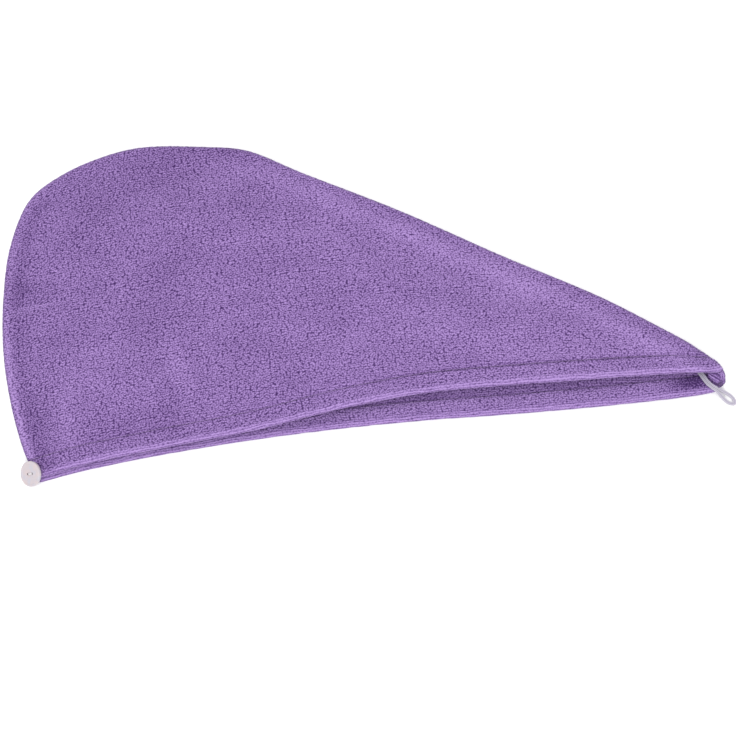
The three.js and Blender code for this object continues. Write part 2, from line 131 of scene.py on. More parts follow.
# Soft dents and swells of the upper layer: middle as shares of the length and the width, reach
# along and across as shares of the width, turn from +X in degrees, lift as a share of the puff
FOLDS = (
    (0.075, 0.17, 0.15, 0.070, 75, 0.18),
    (0.25, 0.86, 0.13, 0.050, 20, -0.20),
    (0.14, 0.68, 0.12, 0.060, 70, -0.18),
    (0.29, 0.74, 0.22, 0.080, -8, 0.15),
    (0.05, 0.50, 0.12, 0.022, 2, 0.20),
    (0.22, 0.17, 0.20, 0.050, 6, -0.18),
    (0.46, 0.48, 0.34, 0.110, -20, 0.15),
    (0.68, 0.20, 0.36, 0.035, -3, -0.20),
    (0.80, 0.24, 0.26, 0.050, -14, 0.18),
)

# Patches of tone, partly pile that is brushed light or dark and partly painted shade and painted
# highlight of soft folds and a painted shadow of a thing that is not in the scene: middle as shares
# of the length and the width, reach along and across as shares of the width, turn from +X in
# degrees, tone
PATCHES = (
    (0.271, 0.89, 0.085, 0.065, 20, -0.08),
    (0.203, 0.86, 0.070, 0.050, -20, -0.07),
    (0.155, 0.78, 0.070, 0.050, 15, -0.06),
    (0.045, 0.58, 0.080, 0.060, 0, -0.10),
    (0.020, 0.80, 0.060, 0.060, 60, -0.05),
    (0.234, 0.56, 0.090, 0.060, 10, -0.08),
    (0.222, 0.15, 0.040, 0.060, 0, -0.08),
    (0.164, 0.14, 0.120, 0.045, 8, -0.06),
    (0.043, 0.17, 0.035, 0.110, 0, -0.08),
    (0.360, 0.95, 0.150, 0.035, -18, -0.07),
    (0.970, 0.14, 0.060, 0.040, -30, -0.10),
    (0.082, 0.18, 0.028, 0.070, 0, 0.12),
    (0.244, 0.27, 0.030, 0.100, 12, 0.12),
    (0.130, 0.30, 0.110, 0.110, 0, 0.05),
    (0.110, 0.42, 0.060, 0.080, 0, -0.06),
    (0.056, 0.53, 0.080, 0.010, 3, 0.15),
    (0.410, 0.85, 0.120, 0.035, -14, 0.05),
    (0.220, 0.95, 0.300, 0.060, 0, -0.05),
    (0.676, 0.27, 0.140, 0.080, 0, 0.03),
)

# Bands of painted shade and painted highlight that follow the seam, over the rolled edges and
# on the ridge along the tail: stretch, distance in from the seam and width in millimetres, tone
BANDS = (
    ("round", 0.0, 1.5, -0.16),
    ("nape", 0.0, 1.2, -0.20),
    ("nape", 4.6, 2.4, 0.22),
    ("side", 5.0, 3.5, 0.09),
    ("side", 15.0, 7.0, -0.10),
    ("tail", 4.0, 5.0, -0.04),
    ("tail", 20.0, 9.0, 0.14),
)

# Middle line of one half of the elastic loop, counted from the tip corner: along and across as
# shares of the width, distance between the halves as a share of the elastic's width, and height
# as a share of the way up to the top of the lower hem
LOOP = (
    (-0.076, 0.088, 1.00, 1.00),
    (-0.064, 0.056, 1.00, 1.00),
    (-0.054, 0.034, 1.00, 1.00),
    (-0.043, 0.012, 1.00, 1.02),
    (-0.031, -0.002, 1.00, 1.02),
    (-0.019, -0.012, 1.14, 0.98),
    (-0.009, -0.021, 1.65, 0.62),
    (0.002, -0.031, 2.35, 0.20),
    (0.012, -0.041, 2.70, 0.02),
    (0.020, -0.050, 2.10, 0.00),
    (0.026, -0.057, 0.00, 0.00),
)

# Middle line of the rolled rim at the tip of the tail, counted from the tip corner in
# millimetres: along, across, share of the full thickness
RIM = (
    (-1.0, 15.4, 0.80),
    (0.0, 12.8, 0.95),
    (0.4, 9.4, 1.00),
    (0.3, 5.8, 1.00),
    (-1.0, 2.4, 0.92),
    (-3.2, -0.2, 0.70),
    (-5.4, -1.9, 0.38),
)

# Attributes of the pile at each point of the cloth: its height, how far its loops lie in long
# rows, and its tone, which is mostly painted shade and painted highlight
NAP = ("pile", "lines", "tone")


def smooth(start: float, end: float, value: Array | float) -> Array:
    """Eased step from 0 at start to 1 at end.

    Args:
        start: Value at which the step begins.
        end: Value at which the step is complete.
        value: Values to ease.

    Returns:
        The eased shares.
    """
    share = np.clip((np.asarray(value, float) - start) / (end - start), 0, 1)
    return share * share * (3 - 2 * share)


def bell(value: Array | float) -> Array:
    """Round bump that is 1 at zero and fades within about two units on either side."""
    return np.exp(-np.asarray(value, float) ** 2)


def table_curve(rows: Sequence[Sequence[float]], column: int, at: Array) -> Array:
    """Smooth curve through one column of a table.

    Args:
        rows: Table whose first column rises.
        column: Column to read.
        at: Values of the first column to read it at.

    Returns:
        The column's values there.
    """
    x = np.array([row[0] for row in rows], float)
    y = np.array([row[column] for row in rows], float)
    ends = np.arange(len(x))
    low, high = np.maximum(ends - 1, 0), np.minimum(ends + 1, len(x) - 1)
    slope = (y[high] - y[low]) / (x[high] - x[low])
    k = np.clip(np.searchsorted(x, at, side="left"), 1, len(x) - 1)
    width = x[k] - x[k - 1]
    s = (at - x[k - 1]) / width
    s2, s3 = s**2, s**3
    return (
        (2 * s3 - 3 * s2 + 1) * y[k - 1]
        + (s3 - 2 * s2 + s) * width * slope[k - 1]
        + (3 * s2 - 2 * s3) * y[k]
        + (s3 - s2) * width * slope[k]
    )


def spline(rows: Array, steps: int) -> Array:
    """Centripetal Catmull-Rom curve through a list of points.

    Args:
        rows: Points to pass through, one a row.
        steps: Steps between two of them.

    Returns:
        The points of the curve.
    """
    padded = np.vstack([2 * rows[0] - rows[1], rows, 2 * rows[-1] - rows[-2]])
    share = np.linspace(0, 1, steps, endpoint=False)[:, None]
    line = []
    for index in range(len(rows) - 1):
        p0, p1, p2, p3 = padded[index : index + 4]
        d0, d1, d2 = (np.linalg.norm(b - a) ** 0.5 for a, b in ((p0, p1), (p1, p2), (p2, p3)))
        t1 = ((p1 - p0) / d0 - (p2 - p0) / (d0 + d1) + (p2 - p1) / d1) * d1
        t2 = ((p2 - p1) / d1 - (p3 - p1) / (d1 + d2) + (p3 - p2) / d2) * d1
        line.append(
            p1 + t1 * share + (3 * (p2 - p1) - 2 * t1 - t2) * share**2
            + (2 * (p1 - p2) + t1 + t2) * share**3
        )
    return np.vstack([*line, rows[-1:]])


def nap(height: Array | float, lines: Array | float, tone: Array | float) -> Array:
    """The attributes of the pile side by side."""
    return np.stack(np.broadcast_arrays(height, lines, tone), -1)


@dataclass(frozen=True)
class Zones:
    """Start and end of the changes along the cloth.

    They are shares of the length, but for low, which is in shares of the width, and crease, which
    is in shares along the mouth.
    """

    groove: Span = (0.04, 0.10)
    side: Span = (0.05, 0.12)
    low: Span = (0.38, 0.52)
    tail: Span = (0.30, 0.58)
    tail_end: Span = (0.93, 0.99)
    # Where the painted light rises towards the tail
    painted_light_rise: Span = (0.25, 0.70)
    ridge: Span = (0.36, 0.46)
    ridge_end: Span = (0.90, 0.97)
    tip: Span = (0.86, 0.97)
    crease: Span = (0.40, 0.60)


ZONES = Zones()


@dataclass(frozen=True)
class Sizes:
    """Driving sizes of the towel, in metres."""

    length: float = 650 * MM
    width: float = 310 * MM
    thickness: float = 2.4 * MM
    lower_roll: float = 4.3 * MM
    edge_roll: float = 5 * MM
    tip_roll: float = 6.5 * MM
    puff_height: float = 7 * MM
    puff_reach: float = 75 * MM
    mouth_droop: float = 1.2 * MM
    hem_width: float = 18 * MM
    hem_thickness: float = 4.2 * MM
    ridge_height: float = 1.0 * MM
    crease_depth: float = 0.65 * MM
    crease_width: float = 1.6 * MM
    nape_crease_share: float = 0.45
    seam_gap: float = 0.04 * MM
    seam_flush: float = 1.6 * MM
    stitch_flush: float = 1.5 * MM
    stitch_gap: float = 0.05 * MM
    rolled_seam_inset: float = 6.5 * MM
    rolled_seam_depth: float = 1.0 * MM
    rolled_seam_width: float = 1.2 * MM
    tail_ridge_inset: float = 17 * MM
    tail_ridge_width: float = 10 * MM
    tail_ridge_height: float = 1.3 * MM
    pile_height: float = 0.18 * MM
    row_bow: float = 0.13
    row_return: float = 1.2
    # Painted light that rises towards the tail
    tail_painted_light: float = 0.05
    cloth_share: float = 0.61


class Stretch:
    """A stretch of the seam, read by its share of arc length."""

    def __init__(self, points: Array) -> None:
        """Keeps the points and their running length.

        Args:
            points: Points of the stretch, seen from above.
        """
        self.points = points
        steps = np.linalg.norm(np.diff(points, axis=0), axis=1)
        self.lengths = np.concatenate([[0], np.cumsum(steps)])
        self.total = float(self.lengths[-1])

    def at(self, share: Array) -> Array:
        """Points at shares of the arc length."""
        length = np.asarray(share) * self.total
        return np.stack([np.interp(length, self.lengths, self.points[:, k]) for k in (0, 1)], -1)


class Seam:
    """The seam seen from above: its line, outward directions and distances."""

    STEPS = 40
    CHUNK = 4000
    NEAREST = 1 * MM

    def __init__(self, sizes: Sizes) -> None:
        """Works the line out from its table.

        Args:
            sizes: Sizes of the towel.
        """
        rows = np.array([[row[1] * sizes.length, row[2] * sizes.width] for row in SEAM])
        self.points = spline(rows, self.STEPS)
        ends = np.arange(len(self.points))
        before = self.points[np.maximum(ends - 1, 0)]
        after = self.points[np.minimum(ends + 1, len(ends) - 1)]
        turned = np.stack([before[:, 1] - after[:, 1], after[:, 0] - before[:, 0]], -1)
        self.outward = turned / np.linalg.norm(turned, axis=1, keepdims=True)

    def stretch(self, first: str, last: str) -> Stretch:
        """Stretch from one named place of the table to another.

        Args:
            first: Name of the place where it starts.
            last: Name of the place where it ends.

        Returns:
            The stretch, in that direction.
        """
        names = [row[0] for row in SEAM]
        start, end = names.index(first) * self.STEPS, names.index(last) * self.STEPS
        if start < end:
            return Stretch(self.points[start : end + 1])
        return Stretch(self.points[end : start + 1][::-1])

    def nearest(self, places: Array) -> tuple[Array, Array]:
        """Nearest place on the seam.

        Args:
            places: Points seen from above.

        Returns:
            Their distances to the seam and its outward directions there.
        """
        distance = np.full(len(places), np.inf)
        outward = np.zeros((len(places), 2))
        for chunk in np.array_split(np.arange(len(places)), len(places) // self.CHUNK + 1):
            p = places[chunk]
            apart = (p[:, :1] - self.points[:, 0]) ** 2 + (p[:, 1:] - self.points[:, 1]) ** 2
            close = apart.argmin(1)
            for step in (-1, 0):
                k = np.clip(close + step, 0, len(self.points) - 2)
                side = self.points[k + 1] - self.points[k]
                share = ((p - self.points[k]) * side).sum(1) / (side**2).sum(1)
                share = np.clip(share, 0, 1)[:, None]
                found = np.linalg.norm(p - self.points[k] - share * side, axis=1)
                better = found < distance[chunk]
                facing = self.outward[k] * (1 - share) + self.outward[k + 1] * share
                distance[chunk[better]] = found[better]
                outward[chunk[better]] = facing[better]
        return distance, outward / np.linalg.norm(outward, axis=1, keepdims=True)

    def soft_distance(self, places: Array) -> Array:
        """Distance to the whole seam with its creases smoothed away.

        Args:
            places: Points seen from above.

        Returns:
            Their distances.
        """
        middle = (self.points[1:] + self.points[:-1]) / 2
        length = np.linalg.norm(np.diff(self.points, axis=0), axis=1)
        total = np.zeros(len(places))
        for chunk in np.array_split(np.arange(len(places)), len(places) // self.CHUNK + 1):
            p = places[chunk]
            apart = (p[:, :1] - middle[:, 0]) ** 2 + (p[:, 1:] - middle[:, 1]) ** 2
            total[chunk] = (length / np.maximum(apart, self.NEAREST**2) ** 2).sum(1)
        return np.cbrt(math.pi / 2 / total)


class Terry:
    """Relief of terry loops that lie in wavy rows, drawn from a fixed seed."""

    STEP = 0.45 * MM
    SHAPE = (768, 1536)
    SHARPNESS = 1.5
    FULLNESS = 0.25

    def __init__(self, pitch: float, run: float, spread: float, seed: int) -> None:
        """Makes one tile of the relief.

        Args:
            pitch: Distance from row to row.
            run: How much longer than wide the loops are.
            spread: Variation of the pitch, as a share of it.
            seed: Seed of the random numbers.
        """
        noise = np.random.default_rng(seed).standard_normal(self.SHAPE)
        along = np.fft.rfftfreq(self.SHAPE[1], self.STEP)[None, :]
        across = np.fft.fftfreq(self.SHAPE[0], self.STEP)[:, None]
        rate = np.hypot(along * run, across) * pitch
        tile = np.fft.irfft2(np.fft.rfft2(noise) * bell((rate - 1) / spread), self.SHAPE)
        self.tile = np.tanh(self.SHARPNESS * (tile / tile.std() + self.FULLNESS))

    def read(self, weft: Array) -> Array:
        """Heights from -1 to 1 at places on the unrolled cloth.

        Args:
            weft: The places.

        Returns:
            The heights.
        """
        x, y = weft[:, 0] / self.STEP, weft[:, 1] / self.STEP
        column, row = np.floor(x).astype(int), np.floor(y).astype(int)
        fx, fy = x - column, y - row
        rows, columns = self.SHAPE
        c0, c1 = column % columns, (column + 1) % columns
        r0, r1 = row % rows, (row + 1) % rows
        low = self.tile[r0, c0] * (1 - fx) + self.tile[r0, c1] * fx
        high = self.tile[r1, c0] * (1 - fx) + self.tile[r1, c1] * fx
        return low * (1 - fy) + high * fy


def swells(rows: Sequence[Sequence[float]], sizes: Sizes, places: Array) -> Array:
    """Sum of the soft round bumps of a table.

    Args:
        rows: Middle along and across, reach, width, turn and amount of each bump.
        sizes: Sizes of the towel.
        places: Points seen from above.

    Returns:
        The sum at each point.
    """
    total = np.zeros(len(places))
    for along, across, reach, width, turn, amount in rows:
        angle = math.radians(turn)
        dx = places[:, 0] - along * sizes.length
        dy = places[:, 1] - across * sizes.width
        lengthwise = (dx * math.cos(angle) + dy * math.sin(angle)) / (reach * sizes.width)
        crosswise = (dy * math.cos(angle) - dx * math.sin(angle)) / (width * sizes.width)
        total += amount * bell(lengthwise) * bell(crosswise)
    return total


class ReliefMap:
    """Swell of the upper layer over its rolled edge, kept on a grid and read between its points."""

    STEP = 2.5 * MM
    MARGIN = 30 * MM
    LAST_CELL = 1.001
    FADE_ROLLS = 3

    def __init__(self, sizes: Sizes, seam: Seam) -> None:
        """Works the swell out at each point of the grid.

        Args:
            sizes: Sizes of the towel.
            seam: Its seam.
        """
        self.x = np.arange(-self.MARGIN, sizes.length + self.MARGIN, self.STEP)
        self.y = np.arange(-self.MARGIN, sizes.width + self.MARGIN, self.STEP)
        across, along = np.meshgrid(self.y, self.x, indexing="ij")
        places = np.stack([along.ravel(), across.ravel()], -1)
        soft, inset = seam.soft_distance(places), seam.nearest(places)[0]
        puff = smooth(0, sizes.puff_reach, soft)
        inside = smooth(0, self.FADE_ROLLS * sizes.edge_roll, inset)
        height = sizes.puff_height * puff + self.folds(sizes, places, inset) * inside
        grid = height.reshape(across.shape)
        slope_y, slope_x = np.gradient(grid, self.STEP)
        self.maps = (grid, slope_x, slope_y, puff.reshape(across.shape))

    @staticmethod
    def folds(sizes: Sizes, places: Array, inset: Array) -> Array:
        """Height of the dents, swells and the ridge along the tail.

        Args:
            sizes: Sizes of the towel.
            places: Points seen from above.
            inset: Their distances to the seam.

        Returns:
            Their heights.
        """
        share = places[:, 0] / sizes.length
        on_tail = smooth(*ZONES.ridge, share) * (1 - smooth(*ZONES.ridge_end, share))
        ridge = bell((inset - sizes.tail_ridge_inset) / sizes.tail_ridge_width)
        lift = sizes.tail_ridge_height * on_tail * ridge
        return lift + sizes.puff_height * swells(FOLDS, sizes, places)

    def read(self, places: Array) -> tuple[Array, ...]:
        """Height, slope along X, slope along Y and puff at places seen from above.

        Args:
            places: The places.

        Returns:
            The four of them, each with a value for each place.
        """
        x = np.clip((places[:, 0] - self.x[0]) / self.STEP, 0, len(self.x) - self.LAST_CELL)
        y = np.clip((places[:, 1] - self.y[0]) / self.STEP, 0, len(self.y) - self.LAST_CELL)
        column, row = x.astype(int), y.astype(int)
        fx, fy = x - column, y - row
        return tuple(
            (m[row, column] * (1 - fx) + m[row, column + 1] * fx) * (1 - fy)
            + (m[row + 1, column] * (1 - fx) + m[row + 1, column + 1] * fx) * fy
            for m in self.maps
        )


@dataclass
class Face:
    """Points of a cloth face with their outward directions and places on the unrolled cloth."""

    points: Array
    normals: Array
    weft: Array
    open: Array
    tone: Array


class ClothForm:
    """The form of the two layers of cloth, worked out from the seam, the mouth and the folds."""

    def __init__(self, sizes: Sizes) -> None:
        """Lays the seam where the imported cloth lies.

        Args:
            sizes: Sizes of the towel.
        """
        self.sizes = sizes
        self.seam = Seam(sizes)
        self.nape = self.seam.stretch("nape corner", "crown shoulder")
        self.crown = self.seam.stretch("crown shoulder", "tail shoulder")
        self.tip = self.seam.stretch("tip corner", "tail shoulder")
        self.nape_corner, self.tip_corner = self.nape.points[0], self.tip.points[0]
        self.span = float(np.linalg.norm(self.tip_corner - self.nape_corner))
        self.relief = ReliefMap(sizes, self.seam)
        low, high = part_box("lower_panel")
        self.offset = np.array(
            [low.x - self.seam.points[:, 0].min(), high.y - self.seam.points[:, 1].max(), low.z]
        )

    def mouth(self, u: Array) -> Array:
        """Lower edge of the mouth at shares along it.

        Args:
            u: The shares.

        Returns:
            Its points seen from above.
        """
        line = self.nape_corner + (self.tip_corner - self.nape_corner) * u[:, None]
        line[:, 1] += table_curve(MOUTH, 1, u) * self.sizes.width
        return line

    def setback(self, layer: Layer, u: Array) -> Array:
        """How far a layer's edge lies in from the lower edge of the mouth."""
        return table_curve(MOUTH, 2, u) * self.sizes.width * (layer is Layer.UPPER)

    def patch(self, u: Array, v: Array) -> Array:
        """Places between the mouth and the seam.

        Args:
            u: Shares along the mouth.
            v: Shares of the way from the mouth to the seam.

        Returns:
            The places seen from above.
        """
        u1, v1 = u[:, None], v[:, None]
        corners = (
            self.nape_corner * (1 - u1) * (1 - v1)
            + self.tip_corner * u1 * (1 - v1)
            + self.crown.points[0] * (1 - u1) * v1
            + self.crown.points[-1] * u1 * v1
        )
        sides = self.nape.at(v) * (1 - u1) + self.tip.at(v) * u1
        return self.mouth(u) * (1 - v1) + self.crown.at(u) * v1 + sides - corners

    def depth(self, u: Array) -> Array:
        """Length of the patch from the mouth to the seam at shares along the mouth.

        Args:
            u: The shares.

        Returns:
            The lengths.
        """
        nape_bow = self.nape.total - np.linalg.norm(self.nape_corner - self.crown.points[0])
        tip_bow = self.tip.total - np.linalg.norm(self.tip_corner - self.crown.points[-1])
        chord = np.linalg.norm(self.mouth(u) - self.crown.at(u), axis=1)
        return chord + (1 - u) ** 2 * nape_bow + u**2 * tip_bow

    def roll(self, layer: Layer, places: Array) -> Array:
        """Radius of a layer's rolled edge.

        Args:
            layer: The layer.
            places: Points seen from above.

        Returns:
            The radius near each point.
        """
        if layer is Layer.LOWER:
            return np.full(len(places), self.sizes.lower_roll)
        tip = smooth(*ZONES.tip, places[:, 0] / self.sizes.length)
        return self.sizes.edge_roll + (self.sizes.tip_roll - self.sizes.edge_roll) * tip

    def seam_dip(self, places: Array, inset: Array) -> Array:
        """Groove beside the rolled seam on the lower half of the nape side.

        Args:
            places: Points seen from above.
            inset: Their distances to the seam.

        Returns:
            Its depths.
        """
        s = self.sizes
        nape = 1 - smooth(*ZONES.groove, places[:, 0] / s.length)
        low = 1 - smooth(*ZONES.low, places[:, 1] / s.width)
        beside = bell((inset - s.rolled_seam_inset) / s.rolled_seam_width)
        return s.rolled_seam_depth * nape * low * beside

    def tone(self, places: Array, inset: Array) -> Array:
        """Painted shade and painted highlight of the upper layer, with some tone of brushed pile.

        Args:
            places: Points seen from above.
            inset: Their distances to the seam.

        Returns:
            Tones, 0 where the upper layer has no painted light, shade or brushed tone.
        """
        s = self.sizes
        along, across = places[:, 0] / s.length, places[:, 1] / s.width
        side = 1 - smooth(*ZONES.side, along)
        low = 1 - smooth(*ZONES.low, across)
        tail = smooth(*ZONES.tail, along) * (1 - smooth(*ZONES.tail_end, along))
        stretches = {"round": 1 - side * low, "nape": side * low, "side": side, "tail": tail}
        # Patches of painted shade, painted highlight and brushed pile, painted light towards the tail, and
        # bands of painted shade and highlight along the seam
        total = swells(PATCHES, s, places) + s.tail_painted_light * smooth(*ZONES.painted_light_rise, along)
        for stretch, middle, width, amount in BANDS:
            total += amount * stretches[stretch] * bell((inset - middle * MM) / (width * MM))
        return total

    def bowed(self, weft: Array) -> Array:
        """Places on the unrolled cloth, shifted so that straight rows bow a little.

        Args:
            weft: The places.

        Returns:
            The shifted places.
        """
        s = self.sizes
        along = weft[:, 0] / s.length
        rise = s.row_bow * (along - s.row_return * along**2) * s.length
        return weft - np.stack([0 * rise, rise], -1)

    def outer(self, layer: Layer, u: Array, from_edge: Array) -> Face:
        """Outer face of one layer.

        Args:
            layer: The layer.
            u: Shares along the mouth.
            from_edge: Distances in from the layer's own mouth edge.

        Returns:
            The face, with open from 0 at the seam to 1 away from it.
        """
        s = self.sizes
        v = np.minimum(1, (self.setback(layer, u) + from_edge) / self.depth(u))
        places = self.patch(u, v)
        inset, outward = self.seam.nearest(places)
        radius = self.roll(layer, places)
        cosine = np.clip(1 - inset / radius, 0, 1)
        sine = np.sqrt(1 - cosine**2)
        unrolled = places + outward * (radius * (np.arcsin(cosine) - cosine))[:, None]
        opened = smooth(0, s.seam_flush, radius * np.arccos(cosine))
        if layer is Layer.LOWER:
            height = radius * (1 - sine)
            normals = np.column_stack([outward * cosine[:, None], -sine])
        else:
            swell, slope_x, slope_y, puff = self.relief.read(places)
            droop = s.mouth_droop * bell(from_edge / (2 * s.hem_width)) * puff
            height = s.lower_roll + s.seam_gap + radius * sine + swell - droop
            height = height - self.seam_dip(places, inset) * sine
            normals = np.column_stack(
                [
                    outward[:, 0] * cosine - slope_x * sine,
                    outward[:, 1] * cosine - slope_y * sine,
                    sine,
                ]
            )
        normals /= np.linalg.norm(normals, axis=1, keepdims=True)
        points = np.column_stack([places, height]) + self.offset
        tone = self.tone(places, inset) if layer is Layer.UPPER else np.zeros(len(places))
        return Face(points, normals, unrolled, opened, tone)

    def crease(self, u: Array | float, from_stitch: Array) -> Array:
        """Depth of the crease at the stitch line, deeper on the tail than at the nape.

        Args:
            u: Shares along the mouth.
            from_stitch: Distances to the stitch line.

        Returns:
            The depths.
        """
        s = self.sizes
        share = s.nape_crease_share + (1 - s.nape_crease_share) * smooth(*ZONES.crease, u)
        return s.crease_depth * share * bell(from_stitch / s.crease_width)


def zip_columns(a: int, rows_a: int, b: int, rows_b: int) -> Array:
    """Triangles between two columns of points that may differ in number.

    Args:
        a: First index of the left column.
        rows_a: Number of its points.
        b: First index of the right column.
        rows_b: Number of its points.

    Returns:
        The triangles, turned to the left seen from outside.
    """
    many, few = (rows_a, rows_b) if rows_a >= rows_b else (rows_b, rows_a)
    i = np.arange(many)
    j = np.rint(i * (few - 1) / (many - 1)).astype(int)
    k = np.nonzero(np.diff(j))[0]
    if rows_a >= rows_b:
        first = np.stack([a + i[:-1], b + j[:-1], a + i[1:]], -1)
        second = np.stack([a + i[k + 1], b + j[k], b + j[k + 1]], -1)
    else:
        first = np.stack([b + i[:-1], b + i[1:], a + j[:-1]], -1)
        second = np.stack([a + j[k], b + i[k + 1], a + j[k + 1]], -1)
    return np.vstack([first, second])


class Surface:
    """A mesh that is put together from strips, with its pile, its weft and its map."""

    STRIP = (0.96, 0.006)
    STRIP_MARGIN = 0.02

    def __init__(self) -> None:
        """Starts with nothing."""
        self.points: list[Array] = []
        self.nap: list[Array] = []
        self.weft: list[Array] = []
        self.faces: list[Array] = []
        self.map: list[Array] = []
        self.count = 0

    def add_points(self, points: Array, pile: Array, weft: Array) -> int:
        """Adds points with the look of their pile and gives the index of the first.

        Args:
            points: The points.
            pile: Values of NAP at each of them.
            weft: Their places on the unrolled cloth.

        Returns:
            That index.
        """
        first = self.count
        self.points.append(points)
        self.nap.append(pile)
        self.weft.append(weft)
        self.count += len(points)
        return first

    def add_faces(self, faces: Array, places: Array) -> None:
        """Adds triangles with the place of each corner on the map."""
        self.faces.append(faces)
        self.map.append(places)

    def bridge(self, first: Array, second: Array, level: float) -> None:
        """Closes the strip between two lines of points that start and end together.

        Args:
            first: Indices of one line.
            second: Indices of the other line.
            level: Height of the strip on the map.
        """
        at_first = np.linspace(0, 1, len(first))
        at_second = np.linspace(0, 1, len(second))
        i = j = 0
        faces, places = [], []
        while i < len(first) - 1 or j < len(second) - 1:
            step_first = j == len(second) - 1 or (
                i < len(first) - 1 and at_first[i + 1] <= at_second[j + 1]
            )
            if step_first:
                faces.append((first[i], first[i + 1], second[j]))
                places.append(((at_first[i], 0), (at_first[i + 1], 0), (at_second[j], 1)))
                i += 1
            else:
                faces.append((first[i], second[j + 1], second[j]))
                places.append(((at_first[i], 0), (at_second[j + 1], 1), (at_second[j], 1)))
                j += 1
        spread = np.array(places, float).reshape(-1, 2) * self.STRIP + (self.STRIP_MARGIN, level)
        self.add_faces(np.array(faces), spread)

    def build(self, name: str) -> Piece:
        """Makes the closed mesh object, its faces pointing out.

        Args:
            name: Name of the object.

        Returns:
            The object at the origin.
        """
        mesh = bpy.data.meshes.new(name)
        faces = np.vstack(self.faces)
        mesh.from_pydata(np.vstack(self.points).tolist(), [], faces.tolist())
        layer = mesh.uv_layers.new(name="OFBake")
        layer.data.foreach_set("uv", np.vstack(self.map).astype(np.float32).ravel())
        for column, values in zip(NAP, np.vstack(self.nap).T):
            attribute = mesh.attributes.new(column, "FLOAT", "POINT")
            attribute.data.foreach_set("value", np.ascontiguousarray(values, np.float32))
        weft = mesh.attributes.new("weft", "FLOAT_VECTOR", "POINT")
        weft.data.foreach_set("vector", np.vstack(self.weft).astype(np.float32).ravel())
        face_out(mesh)
        return place_object(name, mesh)


def face_out(mesh: bpy.types.Mesh) -> None:
    """Turns the faces of a closed mesh outwards and shades them smoothly.

    Args:
        mesh: The mesh.
    """
    shape = bmesh.new()
    shape.from_mesh(mesh)
    bmesh.ops.recalc_face_normals(shape, faces=shape.faces)
    if shape.calc_volume(signed=True) < 0:
        bmesh.ops.reverse_faces(shape, faces=shape.faces)
    for face in shape.faces:
        face.smooth = True
    shape.to_mesh(mesh)
    shape.free()


def place_object(name: str, mesh: bpy.types.Mesh) -> Piece:
    """Puts a mesh into the scene at the origin.

    Args:
        name: Name of the object.
        mesh: The mesh.

    Returns:
        The object.
    """
    made = bpy.data.objects.new(name, mesh)
    bpy.context.scene.collection.objects.link(made)
    return made


def dress(piece: Piece, material: bpy.types.Material, nodes: Sequence[str]) -> Piece:
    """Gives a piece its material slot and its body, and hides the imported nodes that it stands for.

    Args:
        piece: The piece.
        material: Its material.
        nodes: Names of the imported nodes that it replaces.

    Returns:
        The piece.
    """
    piece.data.materials.clear()
    piece.data.materials.append(material)
    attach(piece, BODY)
    if nodes:
        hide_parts(*nodes)
    log.info("%s: %d faces", piece.name, len(piece.data.polygons))
    return piece


